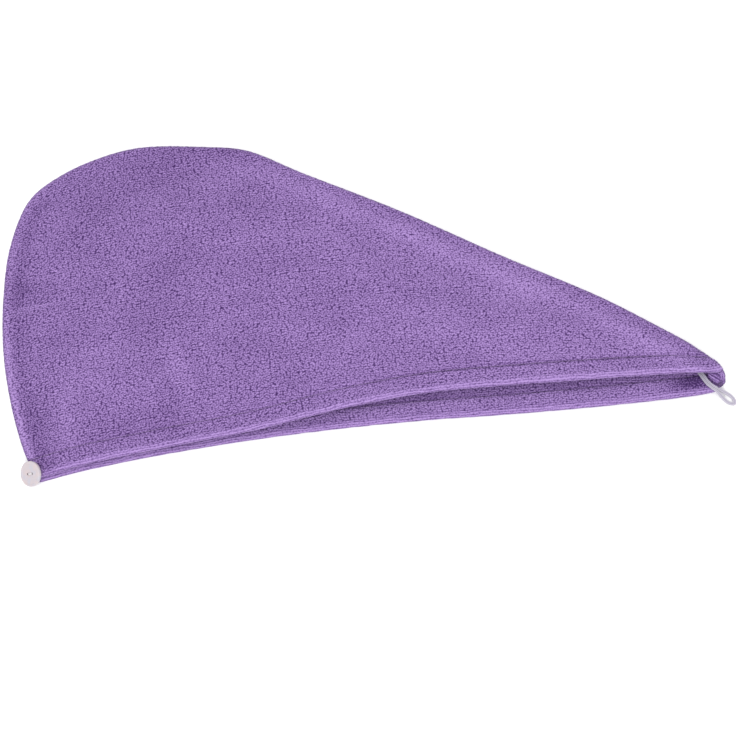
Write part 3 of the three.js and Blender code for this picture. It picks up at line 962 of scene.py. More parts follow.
@dataclass
class Panel:
    """Cloth of one layer from its stitch line to the seam."""

    form: ClothForm
    layer: Layer
    terry: Terry
    column_step: float
    row_step: float
    inner_column_step: float
    inner_row_step: float
    fine_band: float
    roll_steps: int = 9
    probe: float = 2 * MM
    least_slant: float = 0.4
    inner_shift: float = 0.17
    inner_crease: float = 0.4
    row_share: float = 0.35
    row_reach: float = 14 * MM
    crease_shade: float = 0.18
    map_width: float = 0.94
    map_margin: float = 0.03
    inner_shelf: float = 0.51
    strip_level: float = 0.965
    strip_step: float = 0.008

    @property
    def start(self) -> float:
        """Distance of the first row from the layer's mouth edge."""
        return self.form.sizes.hem_width + self.form.sizes.stitch_gap

    def columns(self, step: float) -> Array:
        """Shares along the mouth, closer together over the rolled edges.

        Args:
            step: Distance from column to column.

        Returns:
            The shares.
        """
        turn = 1 - np.cos(np.linspace(0, math.pi / 2, self.roll_steps))
        ends = self.form.roll(self.layer, np.stack([self.form.nape_corner, self.form.tip_corner]))
        start, end = turn * ends[0] / self.form.span, 1 - turn[::-1] * ends[1] / self.form.span
        count = round((end[0] - start[-1]) * self.form.span / step)
        return np.concatenate([start[:-1], np.linspace(start[-1], end[0], count + 1), end[1:]])

    def rows(self, u: Array, step: float, fine: float) -> list[Array]:
        """Distances from the mouth edge of the rows of each column.

        Args:
            u: Shares along the mouth of the columns.
            step: Distance from row to row.
            fine: Width of the band beside the stitch line with rows a third as far apart.

        Returns:
            One list of distances for each column.
        """
        form = self.form
        depth = form.depth(u)
        reach = depth - form.setback(self.layer, u)
        ratio = form.seam.nearest(form.patch(u, 1 - self.probe / depth))[0] / self.probe
        radius = form.roll(self.layer, form.patch(u, np.ones_like(u)))
        back = radius / np.clip(ratio, self.least_slant, 1)
        turn = 1 - np.cos(np.linspace(math.pi / 2, 0, self.roll_steps))
        lists = []
        for far, roll in zip(reach, back):
            roll_start = max(far - roll, self.start + 2 * step)
            band = min(fine, (roll_start - self.start) / 2)
            near = np.linspace(self.start, self.start + band, 1 + round(3 * band / step))
            count = math.ceil((roll_start - self.start - band) / step)
            rest = np.linspace(self.start + band, roll_start, 1 + count)
            rolled = far - turn * (far - roll_start)
            lists.append(np.concatenate([near[:-1], rest[:-1], rolled]))
        return lists

    def sheet(
        self, surface: Surface, inner: bool, step: float, row_step: float, fine: float
    ) -> tuple[Array, Array]:
        """Adds one face of the cloth.

        Args:
            surface: Mesh to add it to.
            inner: Whether it is the inner face.
            step: Distance between columns.
            row_step: Distance between rows.
            fine: Width of the finer band beside the stitch line.

        Returns:
            The first index and the number of points of each column.
        """
        s = self.form.sizes
        shares = self.columns(step)
        lists = self.rows(shares, row_step, fine)
        counts = [len(rows) for rows in lists]
        u = np.repeat(shares, counts)
        from_edge = np.concatenate(lists)
        face = self.form.outer(self.layer, u, from_edge)
        rows = self.form.bowed(face.weft) + (0, self.inner_shift * inner)
        pile = self.terry.read(rows)
        from_stitch = from_edge - self.start
        relief = s.pile_height * pile * face.open * smooth(0, s.stitch_flush, from_stitch)
        crease = self.form.crease(u, from_stitch)
        tone = face.tone
        if inner:
            lift = self.inner_crease * crease * (self.layer is Layer.LOWER) - s.thickness - relief
            tone = 0 * tone
        elif self.layer is Layer.UPPER:
            lift = relief - crease
            tone = tone - self.crease_shade * crease / s.crease_depth
        else:
            lift = 0 * relief
        points = face.points + face.normals * lift[:, None]
        weft = np.column_stack([rows, np.full(len(u), self.inner_shift * inner)])
        near = self.row_share * (1 - smooth(0, self.row_reach, from_stitch))
        first = surface.add_points(points, nap(pile, near, tone), weft)
        starts = first + np.concatenate([[0], np.cumsum(counts[:-1])]).astype(int)
        scale = self.map_width / (s.length + 4 * s.edge_roll)
        shelf = self.inner_shelf if inner else self.map_margin
        places = face.weft[:, :2] * scale + (self.map_margin, shelf)
        for k in range(len(starts) - 1):
            faces = zip_columns(starts[k], counts[k], starts[k + 1], counts[k + 1])
            if inner != (self.layer is Layer.LOWER):
                faces = faces[:, ::-1]
            surface.add_faces(faces, places[faces - first].reshape(-1, 2))
        return starts, np.array(counts)

    def build(self, name: str) -> Piece:
        """Makes the closed panel.

        Args:
            name: Name of the piece.

        Returns:
            The piece.
        """
        surface = Surface()
        outer = self.sheet(surface, False, self.column_step, self.row_step, 0.0)
        steps = (self.inner_column_step, self.inner_row_step, self.fine_band)
        inner = self.sheet(surface, True, *steps)
        rims = []
        for starts, counts in (outer, inner):
            last, first = (np.arange(starts[k], starts[k] + counts[k]) for k in (-1, 0))
            rims.append((starts, last, starts + counts - 1, first))
        for side, (first, second) in enumerate(zip(*rims)):
            surface.bridge(first, second, self.strip_level + self.strip_step * side)
        return surface.build(name)


# Map of a lofted body, in shares of its side: room for its shelves, their margin and how far they
# rise together; then place, spacing and radius of the discs of its two ends
LOFT_ROOM = (0.94, 0.90)
LOFT_MARGIN = 0.02
LOFT_RISE = 0.92
DISC_PLACE = (0.1, 0.975)
DISC_SPACING = 0.1
DISC_RADIUS = 0.012


def cap(surface: Surface, rings: Array, pile: Array, flat: Array) -> None:
    """Fills both ends of a lofted body.

    Args:
        surface: Mesh to add them to, which starts with the points of the rings.
        rings: Points, as ring, point of the ring and coordinate.
        pile: Look of the pile at each point.
        flat: Place of each point on the unrolled cloth.
    """
    count, sides = rings.shape[:2]
    k = np.arange(sides)
    turn = 2 * math.pi * np.arange(sides + 1) / sides
    for side, ring in enumerate((0, count - 1)):
        middle = surface.add_points(
            rings[ring].mean(0)[None], pile[ring].mean(0)[None], flat[ring].mean(0)[None]
        )
        first, second = ring * sides + k, ring * sides + (k + 1) % sides
        centre = np.array([DISC_PLACE[0] + DISC_SPACING * side, DISC_PLACE[1]])
        rim = np.stack([np.cos(turn), np.sin(turn)], -1) * DISC_RADIUS + centre
        corners = [np.broadcast_to(centre, (sides, 2)), rim[:-1], rim[1:]]
        faces = np.stack([np.full(sides, middle), first, second], -1)
        surface.add_faces(faces, np.stack(corners, 1).reshape(-1, 2))


def loft(name: str, rings: Array, pile: Array, weft: Array, shelves: int) -> Piece:
    """Closed body through rings of points, its ends filled.

    Args:
        name: Name of the object.
        rings: Points, as ring, point of the ring and coordinate.
        pile: Look of the pile at each point.
        weft: Length along and length around at each point.
        shelves: Number of lengths into which the map is cut.

    Returns:
        The object.
    """
    surface = Surface()
    count, sides = rings.shape[:2]
    flat = np.concatenate([weft, np.zeros((count, sides, 1))], -1)
    surface.add_points(rings.reshape(-1, 3), pile.reshape(-1, 3), flat.reshape(-1, 3))
    along, around = weft[:, 0, 0], weft[0, :, 1] - weft[0, :, 1].min()
    step = (around.max() - around.min()) / max(sides - 1, 1)
    around = np.append(around, around.max() + step)
    shelf = math.ceil((count - 1) / shelves)
    width, height = along[shelf] - along[0], around[-1] + 2 * step
    scale = min(LOFT_ROOM[0] / width, LOFT_ROOM[1] / shelves / height)
    k = np.arange(sides)
    after = (k + 1) % sides
    for first in range(0, count - 1, shelf):
        last = min(first + shelf, count - 1)
        y = around * scale + LOFT_MARGIN + LOFT_RISE * (first // shelf) / shelves
        for ring in range(first, last):
            low, high = ring * sides, (ring + 1) * sides
            x = (along[ring : ring + 2] - along[first]) * scale + LOFT_MARGIN
            quad = (low + k, high + k, high + after, low + after)
            places = ((x[0], y[:-1]), (x[1], y[:-1]), (x[1], y[1:]), (x[0], y[1:]))
            corners = [np.stack([np.full(sides, px), py], -1) for px, py in places]
            for order in ((0, 1, 2), (0, 2, 3)):
                faces = np.stack([quad[i] for i in order], -1)
                surface.add_faces(faces, np.stack([corners[i] for i in order], 1).reshape(-1, 2))
    cap(surface, rings, pile, flat)
    return surface.build(name)


SHORTEST = 1e-12


def ring_normals(rings: Array) -> Array:
    """Directions square to a surface of rings, pointing away from the middle of each ring.

    Args:
        rings: Points, as ring, point of the ring and coordinate.

    Returns:
        The directions.
    """
    around = np.roll(rings, -1, axis=1) - np.roll(rings, 1, axis=1)
    along = np.gradient(rings, axis=0)
    square = np.cross(along, around)
    square /= np.maximum(np.linalg.norm(square, axis=2, keepdims=True), SHORTEST)
    away = ((rings - rings.mean(1, keepdims=True)) * square).sum()
    return square * (1 if away > 0 else -1)


@dataclass
class Hem:
    """Folded hem of one layer, round at its fold and creased at its stitch line."""

    form: ClothForm
    layer: Layer
    terry: Terry
    rows: Terry
    column_step: float = 1.2 * MM
    ring_step: float = 0.9 * MM
    fold_steps: int = 7
    taper_width: float = 3.5 * MM
    taper_share: float = 0.28
    ridge_place: float = 4.6 * MM
    ridge_width: float = 2.6 * MM
    lower_ridge_share: float = 0.3
    mouth_share: float = 0.04
    pile_height: float = 0.28 * MM
    row_flatness: float = 0.45
    row_reach: float = 8 * MM
    # Painted highlight round the fold of the hem: its place, width and strength
    fold_highlight_place: float = 3.2 * MM
    fold_highlight_width: float = 3.0 * MM
    fold_highlight: float = 0.25
    crease_shade: float = 0.16
    inner_crease: float = 0.15
    pocket_place: float = 0.955
    pocket_reach: float = 0.032
    pocket_lift: float = 1.6 * MM
    # Painted shade in the pocket at the tip of the tail
    pocket_shade: float = 0.60
    # Painted light in the hollow under the upper hem, and where across the lower hem it lies
    hollow_painted_light: float = 0.10
    hollow_reach: Span = (0.2, 0.6)
    corner_steps: int = 8

    def half(self) -> tuple[Array, Array, Array]:
        """Half of the ring, from the stitch line to the fold.

        Returns:
            Distances from the edge, shares of the half thickness out from the middle, and
            lengths around the ring from the fold.
        """
        s = self.form.sizes
        radius = s.hem_thickness / 2
        count = round((s.hem_width - radius) / self.ring_step)
        flat = np.linspace(s.hem_width, radius, count + 1)
        turn = np.linspace(math.pi / 2, 0, self.fold_steps + 1)[1:]
        from_edge = np.concatenate([flat, radius * (1 - np.cos(turn))])
        share = np.concatenate([np.ones(len(flat)), np.sin(turn)])
        length = np.concatenate([flat - radius + radius * math.pi / 2, radius * turn])
        return from_edge, share, length

    def shown(self, sides: Array) -> Array:
        """Which points of a ring lie on the side of the cloth that faces out."""
        return sides > 0 if self.layer is Layer.UPPER else sides < 0

    def crease(self, u: Array, edge: Array, sides: Array) -> Array:
        """Depth of the crease at the stitch line.

        Args:
            u: Shares along the mouth.
            edge: Distances of a ring's points from the edge.
            sides: Their shares of the half thickness out from the middle.

        Returns:
            The depths, one row for each share.
        """
        depth = self.form.crease(u[:, None], self.form.sizes.hem_width - edge) * self.shown(sides)
        return depth * (1 if self.layer is Layer.UPPER else self.inner_crease)

    def lift(self, u: Array, edge: Array, sides: Array, crease: Array, pocket: Array) -> Array:
        """How far the hem's face lies out from the cloth's outer face.

        Args:
            u: Shares along the mouth.
            edge: Distances of a ring's points from the edge.
            sides: Their shares of the half thickness out from the middle.
            crease: Depths of the crease.
            pocket: How near each share is to the pocket at the tail.

        Returns:
            The lifts, one row for each share.
        """
        form, s = self.form, self.form.sizes
        thin = self.taper_share * bell((s.hem_width - edge) / self.taper_width)
        thick = s.hem_thickness * (1 - thin)
        depth = s.hem_thickness / 2 - sides * thick / 2
        ridge = bell((edge - self.ridge_place) / self.ridge_width) * self.shown(sides)
        near_mouth = form.patch(u, np.full(len(u), self.mouth_share))
        swell = smooth(0, 2 * s.hem_width, form.seam.soft_distance(near_mouth))[:, None]
        ridge = s.ridge_height * swell * ridge
        if self.layer is Layer.LOWER:
            return crease - self.lower_ridge_share * ridge - depth
        return ridge - crease + self.pocket_lift * pocket * bell(edge / s.hem_width) - depth

    def build(self, name: str) -> Piece:
        """Makes the closed hem.

        Args:
            name: Name of the piece.

        Returns:
            The piece.
        """
        form, s = self.form, self.form.sizes
        from_edge, share, length = self.half()
        sides = np.concatenate([share, -share[-2::-1]])
        edge = np.concatenate([from_edge, from_edge[-2::-1]])
        around = np.concatenate([length, -length[-2::-1]])
        u = self.shares(round(form.span / self.column_step))
        grid = (len(u), len(edge))
        face = form.outer(self.layer, np.repeat(u, len(edge)), np.tile(edge, len(u)))
        pocket = bell((u - self.pocket_place) / self.pocket_reach)[:, None]
        crease = self.crease(u, edge, sides)
        lift = self.lift(u, edge, sides, crease, pocket)
        rings = (face.points + face.normals * lift.reshape(-1, 1)).reshape(*grid, 3)
        weft = np.stack(np.broadcast_arrays(u[:, None] * form.span, around[None]), -1)
        lines = 1 - smooth(self.row_reach / 2, self.row_reach, np.abs(around))
        loose, rowed = (kind.read(weft.reshape(-1, 2)).reshape(grid) for kind in (self.terry, self.rows))
        pile = loose * (1 - lines) + rowed * lines
        height = self.pile_height * (1 - self.row_flatness * lines)
        relief = height * pile * face.open.reshape(grid) * smooth(0, s.stitch_flush, s.hem_width - edge)
        rings = rings + ring_normals(rings) * relief[..., None]
        rings[..., 2] = np.maximum(rings[..., 2], 0)
        # Painted highlight round the fold, and painted shade in the crease at the stitch line
        fold_highlight = self.fold_highlight * bell((np.abs(around) - self.fold_highlight_place) / self.fold_highlight_width)
        tone = face.tone.reshape(grid) + fold_highlight - self.crease_shade * crease / s.crease_depth
        # On the lower hem, painted light in the hollow under the upper hem and painted shade in the pocket
        # at the tip
        if self.layer is Layer.LOWER:
            start, end = self.hollow_reach
            deep = smooth(start * s.hem_width, end * s.hem_width, edge)
            tone = tone + (self.hollow_painted_light - self.pocket_shade * pocket) * deep
        return loft(name, rings, nap(pile, lines, tone), weft, 3)

    def shares(self, count: int) -> Array:
        """Shares along the mouth, closer together over the rolled corners.

        Args:
            count: Number of shares between the corners.

        Returns:
            The shares.
        """
        radius = self.form.sizes.edge_roll / self.form.span
        turn = radius * (1 - np.cos(np.linspace(0, math.pi / 2, self.corner_steps)))
        middle = np.linspace(radius, 1 - radius, count)
        return np.concatenate([turn[:-1], middle, 1 - turn[-2::-1]])


def frames_along(path: Array) -> tuple[Array, Array]:
    """Level side directions and upward directions along a path that mostly lies flat.

    Args:
        path: Points of the path.

    Returns:
        Both, one of each for each point.
    """
    tangent = np.gradient(path, axis=0)
    tangent /= np.linalg.norm(tangent, axis=1, keepdims=True)
    side = np.cross((0.0, 0.0, 1.0), tangent)
    side /= np.linalg.norm(side, axis=1, keepdims=True)
    return side, np.cross(tangent, side)


def even(path: Array, step: float) -> tuple[Array, Array]:
    """A path with points at even lengths, and those lengths.

    Args:
        path: Points of the path.
        step: Distance from point to point.

    Returns:
        The points and their lengths.
    """
    lengths = np.concatenate([[0], np.cumsum(np.linalg.norm(np.diff(path, axis=0), axis=1))])
    at = np.linspace(0, lengths[-1], round(lengths[-1] / step) + 1)
    return np.stack([np.interp(at, lengths, path[:, k]) for k in range(3)], -1), at


@dataclass
class ElasticLoop:
    """Braided elastic loop that is sewn in at the tip of the tail."""

    form: ClothForm
    width: float = 2.4 * MM
    thickness: float = 1.8 * MM
    seat_gap: float = 0.3 * MM
    step: float = 0.3 * MM
    sides: int = 32
    square: float = 0.45
    eye_spread: float = 0.36
    sewn_shade: float = 0.45
    rib_height: float = 0.24 * MM
    plait_pitch: float = 1.1 * MM
    plait_height: float = 0.07 * MM
    plait_lag: float = 1.3
    ribs: float = 1.6
    eye_reach: Span = (0.22, 0.50)
    sewn_reach: Span = (0.3, 0.9)
    curve_steps: int = 24

    def path(self) -> Array:
        """Middle line of the elastic from one sewn end round the eye to the other.

        Returns:
            Its points.
        """
        s, corner = self.form.sizes, self.form.tip_corner
        rest = self.seat_gap + self.thickness / 2
        rise = s.hem_thickness + rest
        middle = np.array(
            [
                (corner[0] + a * s.width, corner[1] + b * s.width, rest + (rise - rest) * h)
                for a, b, _, h in LOOP
            ]
        )
        ends = np.arange(len(middle))
        before = middle[np.maximum(ends - 1, 0)]
        after = middle[np.minimum(ends + 1, len(ends) - 1)]
        across = np.stack([before[:, 1] - after[:, 1], after[:, 0] - before[:, 0], 0 * ends], -1)
        across /= np.linalg.norm(across, axis=1, keepdims=True)
        apart = across * (np.array([row[2] for row in LOOP]) * self.width / 2)[:, None]
        halves = np.vstack([(middle + apart)[:-1], (middle - apart)[::-1]])
        return spline(halves, self.curve_steps) + self.form.offset

    def build(self, name: str) -> Piece:
        """Makes the closed loop with its ribs and its plait.

        Args:
            name: Name of the piece.

        Returns:
            The piece.
        """
        path, at = even(self.path(), self.step)
        side, up = frames_along(path)
        turn = 2 * math.pi * np.arange(self.sides) / self.sides
        across = np.sign(np.cos(turn)) * np.abs(np.cos(turn)) ** self.square
        through = np.sign(np.sin(turn)) * np.abs(np.sin(turn)) ** self.square
        rib = -np.cos(self.ribs * math.pi * across)
        lag = self.plait_lag * np.sign(across)[None]
        plait = np.cos(2 * math.pi * at[:, None] / self.plait_pitch + lag)
        relief = self.rib_height * (rib[None] - 1) / 2 + self.plait_height * plait
        half_up = self.thickness / 2 + relief
        sewn = np.abs(at / at[-1] - 0.5)[:, None] * 2
        wider = 1 + self.eye_spread * (1 - smooth(*self.eye_reach, sewn))
        half_side = self.width / 2 * wider + relief * np.abs(across)[None]
        rings = (
            path[:, None]
            + side[:, None] * (half_side * across[None])[..., None]
            + up[:, None] * (half_up * through[None])[..., None]
        )
        around = np.broadcast_to(turn * (self.width + self.thickness) / 4, half_up.shape)
        weft = np.stack([np.broadcast_to(at[:, None], half_up.shape), around], -1)
        # Height of the ribs and plait, for the painted shade in their grooves
        pile = np.clip(1 + 2 * relief / (self.rib_height + self.plait_height), -1, 1)
        tone = -self.sewn_shade * smooth(*self.sewn_reach, sewn)
        return loft(name, rings, nap(pile, 0.0, tone), weft, 4)


@dataclass
class TipCurl:
    """Cloth that rolls inward round the tip of the tail: a rim and the ribbed curl inside it."""

    form: ClothForm
    rim_width: float = 5.4 * MM
    rim_height: float = 4.8 * MM
    seat_gap: float = 0.35 * MM
    # Painted highlight on the rolled rim
    rim_highlight: float = 0.12
    rim_lines: float = 0.2
    rim_relief: float = 0.06
    end_share: float = 0.03
    end_bluntness: float = 0.25
    curl_place: Span = (-5.6 * MM, 7.4 * MM)
    curl_turn: float = -44.0
    curl_length: float = 15.5 * MM
    curl_width: float = 8.6 * MM
    curl_height: float = 4.4 * MM
    curl_bend: float = 1.2 * MM
    curl_rings: int = 36
    curl_closing: float = 0.49
    ribs: int = 8
    rib_height: float = 0.45 * MM
    rib_lean: float = 1.2
    # Painted light on the crests of the ribs and painted shade in their grooves
    rib_shading: float = 0.26
    curl_tone: float = -0.02
    curve_steps: int = 12
    step: float = 0.5 * MM
    sides: int = 44

    def rise(self) -> float:
        """Height of the lower hem on which the curl lies."""
        return self.form.sizes.hem_thickness + self.seat_gap

    def corner(self) -> Array:
        """The tip corner of the mouth where the cloth lies."""
        return np.append(self.form.tip_corner, 0) + self.form.offset

    def rim(self) -> Piece:
        """Rim that goes on from the upper hem round the tip to the lower hem.

        Returns:
            The rim.
        """
        rows = np.array([[along * MM, across * MM, share] for along, across, share in RIM])
        line, at = even(spline(rows, self.curve_steps), self.step)
        share = line[:, 2:]
        middle = np.column_stack([line[:, :2], self.rise() + share[:, 0] * self.rim_height / 2])
        side, up = frames_along(middle)
        turn = 2 * math.pi * np.arange(self.sides) / self.sides
        along = np.clip(at / at[-1], self.end_share, 1 - self.end_share)
        ends = np.sin(math.pi * along) ** self.end_bluntness
        weft = np.stack(np.broadcast_arrays(at[:, None], turn[None] * self.rim_width / 2), -1)
        terry = Terry(pitch=2.4 * MM, run=1.2, spread=0.3, seed=31)
        pile = terry.read(weft.reshape(-1, 2)).reshape(weft.shape[:2])
        size = share * ends[:, None] * (1 + self.rim_relief * pile)
        rings = (
            middle[:, None]
            + side[:, None] * (size * np.cos(turn)[None] * self.rim_width / 2)[..., None]
            + up[:, None] * (size * np.sin(turn)[None] * self.rim_height / 2)[..., None]
        )
        return loft("rim", rings + self.corner(), nap(pile, self.rim_lines, self.rim_highlight), weft, 1)

    def curl(self) -> Piece:
        """Curl of cloth with ribs that run along it and meet at its ends.

        Returns:
            The curl.
        """
        turn = 2 * math.pi * np.arange(self.sides) / self.sides
        share = np.sin(np.linspace(-1, 1, self.curl_rings) * self.curl_closing * math.pi)
        round_ = np.sqrt(1 - share**2)[:, None]
        angle = math.radians(self.curl_turn)
        axis = np.array([math.cos(angle), math.sin(angle), 0])
        side = np.array([-math.sin(angle), math.cos(angle), 0])
        rib = np.cos(self.ribs * turn + self.rib_lean * share[:, None])
        size = round_ * (1 + rib * self.rib_height / self.curl_height * 2)
        middle = (
            axis * (share * self.curl_length / 2)[:, None]
            + side * (self.curl_bend * (1 - share**2))[:, None]
            + np.array([*self.curl_place, self.rise() + self.curl_height / 2])
        )
        rings = (
            middle[:, None]
            + side * (size * np.cos(turn) * self.curl_width / 2)[..., None]
            + np.array([0, 0, 1]) * (size * np.sin(turn) * self.curl_height / 2)[..., None]
        )
        length, width = self.curl_length / 2, self.curl_width / 2
        weft = np.stack(np.broadcast_arrays(share[:, None] * length, turn[None] * width), -1)
        # Painted light on the crests of the ribs and painted shade between them
        tone = self.rib_shading * rib + self.curl_tone
        return loft("curl", rings + self.corner(), nap(rib, 1.0, tone), weft, 1)

    def build(self, name: str) -> Piece:
        """Makes the rim and the curl."""
        return join(name, [self.rim(), self.curl()])


@dataclass
class ButtonSet:
    """Flat two-hole button and its thread, leaning on the rolled corner of the upper hem."""

    form: ClothForm
    diameter: float = 23 * MM
    thickness: float = 3.2 * MM
    rim_width: float = 2.0 * MM
    dish_depth: float = 0.4 * MM
    edge_radius: float = 0.8 * MM
    tilt: float = 36.0
    spin: float = -24.0
    from_corner: float = 5.4 * MM
    seat_gap: float = 0.35 * MM
    overhang: float = 2.6 * MM
    hole_diameter: float = 2.2 * MM
    hole_spacing: float = 5.2 * MM
    thread_diameter: float = 0.72 * MM
    thread_rise: float = 0.35 * MM
    thread_reach: tuple[float, ...] = (0.80, 0.78, 0.60, 0.32)
    thread_spacing: float = 1.04
    thread_step: float = 0.12 * MM
    thread_sides: int = 14
    ply_pitch: float = 0.36 * MM
    ply_depth: float = 0.20
    segments: int = 96
    hole_segments: int = 24
    round_steps: int = 7
    slope_steps: int = 12
    slope_rolls: float = 3.2
    lip_rolls: float = 0.7
    floor_share: float = 0.45
    sharp_angle: float = 40.0

    def seat(self) -> Matrix:
        """Frame of the button: its back's middle, with Z along its axis.

        Returns:
            The frame.
        """
        form, s = self.form, self.form.sizes
        setback = float(form.setback(Layer.UPPER, np.zeros(1))[0])
        corner = form.nape.at(np.array([(setback + self.from_corner) / form.nape.total]))
        outward = form.seam.nearest(corner)[1][0]
        tilt = math.radians(self.tilt)
        axis = Vector((outward[0] * math.sin(tilt), outward[1] * math.sin(tilt), math.cos(tilt)))
        slide = Vector((outward[0] * math.cos(tilt), outward[1] * math.cos(tilt), -math.sin(tilt)))
        roll = Vector((*(corner[0] - outward * s.edge_roll), s.lower_roll + s.seam_gap))
        place = roll + axis * (s.edge_roll + s.ridge_height / 2 + self.seat_gap)
        place += slide * self.overhang + Vector(self.form.offset)
        turned = Matrix((slide, axis.cross(slide), axis)).transposed().to_4x4()
        spin = Matrix.Rotation(math.radians(self.spin), 4, "Z")
        return Matrix.Translation(place) @ turned @ spin

    def profile(self) -> Array:
        """Half section of the button, from the middle of its back to the middle of its face.

        Returns:
            Its points, each a distance from the axis and a height.
        """
        radius, thick, round_ = self.diameter / 2, self.thickness, self.edge_radius
        turn = np.linspace(0, math.pi / 2, self.round_steps)
        fall, rise = round_ * (1 - np.cos(turn)), round_ * np.sin(turn)
        back = np.stack([radius - 2 * round_ + 2 * rise, fall], -1)
        front = np.stack([radius - fall, thick - round_ + rise], -1)
        share = np.linspace(0, 1, self.slope_steps)
        lip = radius - self.rim_width + self.lip_rolls * round_
        reach = share * self.slope_rolls * self.dish_depth
        slope = np.stack([lip - reach, thick - self.dish_depth * smooth(0, 1, share)], -1)
        floor = thick - self.dish_depth
        middle = np.array([[self.floor_share * radius, floor], [0, floor]])
        return np.vstack([[[0, 0]], back, front, slope, middle])

    def disc(self, name: str) -> Piece:
        """Makes the button with its two holes cut through.

        Args:
            name: Name of the piece.

        Returns:
            The piece.
        """
        shape = bmesh.new()
        profile = self.profile()
        line = [shape.verts.new((across, 0, up)) for across, up in profile]
        edges = [shape.edges.new(pair) for pair in zip(line, line[1:])]
        bmesh.ops.spin(
            shape, geom=line + edges, cent=(0, 0, 0), axis=(0, 0, 1),
            angle=2 * math.pi, steps=self.segments, use_merge=True,
        )
        bmesh.ops.remove_doubles(shape, verts=shape.verts, dist=1e-6)
        mesh = bpy.data.meshes.new(name)
        shape.to_mesh(mesh)
        shape.free()
        face_out(mesh)
        disc = place_object(name, mesh)
        for side in (-1, 1):
            self.pierce(disc, side * self.hole_spacing / 2)
        mesh = disc.data
        mesh.transform(self.seat())
        mesh.set_sharp_from_angle(angle=math.radians(self.sharp_angle))
        return disc

    def pierce(self, disc: Piece, across: float) -> None:
        """Cuts one hole through the disc.

        Args:
            disc: The disc, before it is seated.
            across: Distance of the hole from the axis.
        """
        shape = bmesh.new()
        bmesh.ops.create_cone(
            shape, cap_ends=True, segments=self.hole_segments, radius1=self.hole_diameter / 2,
            radius2=self.hole_diameter / 2, depth=4 * self.thickness,
            matrix=Matrix.Translation((across, 0, 0)),
        )
        cutter = place_object("cutter", bpy.data.meshes.new("cutter"))
        shape.to_mesh(cutter.data)
        shape.free()
        cut = disc.modifiers.new("hole", "BOOLEAN")
        cut.operation, cut.object, cut.solver = "DIFFERENCE", cutter, "EXACT"
        apply_modifiers(disc)
        bpy.data.objects.remove(cutter)

    def thread(self, name: str) -> Piece:
        """Makes the strands of thread between the two holes.

        Args:
            name: Name of the piece.

        Returns:
            The piece.
        """
        floor, lift = self.thickness - self.dish_depth, self.thread_diameter / 2
        heights = (self.thickness / 5, floor - lift, floor + lift / 2, floor + lift + self.thread_rise)
        half = self.hole_spacing / 2
        parts = []
        for row in (-1, 1):
            y = row * self.thread_spacing * lift
            legs = [(-reach * half, y, z) for reach, z in zip(self.thread_reach, heights)]
            points = np.array([*legs, *[(-x, py, z) for x, py, z in legs[::-1]]])
            parts.append(self.strand(points, row))
        return join(name, parts)

    def strand(self, points: Array, twist: int) -> Piece:
        """One strand of two-ply thread along a path in the button's frame.

        Args:
            points: Points of the path.
            twist: 1 or -1, the direction in which the plies turn.

        Returns:
            The strand.
        """
        path, at = even(spline(points, self.slope_steps), self.thread_step)
        tangent = np.gradient(path, axis=0)
        tangent /= np.linalg.norm(tangent, axis=1, keepdims=True)
        side = np.broadcast_to((0.0, 1.0, 0.0), path.shape)
        up = np.cross(tangent, side)
        turn = 2 * math.pi * np.arange(self.thread_sides) / self.thread_sides
        ply = np.abs(np.cos(turn[None] - twist * at[:, None] / self.ply_pitch))
        radius = self.thread_diameter / 2 * (1 - self.ply_depth + self.ply_depth * ply)
        rings = (
            path[:, None]
            + side[:, None] * (radius * np.cos(turn))[..., None]
            + up[:, None] * (radius * np.sin(turn))[..., None]
        )
        seat = np.array(self.seat())
        rings = rings @ seat[:3, :3].T + seat[:3, 3]
        around = np.broadcast_to(turn * self.thread_diameter / 2, radius.shape)
        weft = np.stack([np.broadcast_to(at[:, None], radius.shape), around], -1)
        return loft(f"strand_{twist}", rings, nap(2 * ply - 1, 0.0, 0.0), weft, 2)


def apply_modifiers(piece: Piece) -> None:
    """Turns a piece with its modifiers into a plain mesh.

    Args:
        piece: The piece.
    """
    graph = bpy.context.evaluated_depsgraph_get()
    made = bpy.data.meshes.new_from_object(piece.evaluated_get(graph))
    piece.modifiers.clear()
    old, piece.data = piece.data, made
    bpy.data.meshes.remove(old)


def join(name: str, parts: Sequence[Piece]) -> Piece:
    """Joins objects at the origin into one.

    Args:
        name: Name of the joined object.
        parts: The objects, which are used up.

    Returns:
        The joined object.
    """
    bpy.ops.object.select_all(action="DESELECT")
    for index, part in enumerate(parts):
        part.select_set(True)
        layer = part.data.uv_layers["OFBake"]
        places = np.empty(2 * len(layer.data), np.float32)
        layer.data.foreach_get("uv", places)
        places[1::2] = (places[1::2] + index) / len(parts)
        layer.data.foreach_set("uv", places)
    bpy.context.view_layer.objects.active = parts[0]
    bpy.ops.object.join()
    parts[0].name = name
    return parts[0]


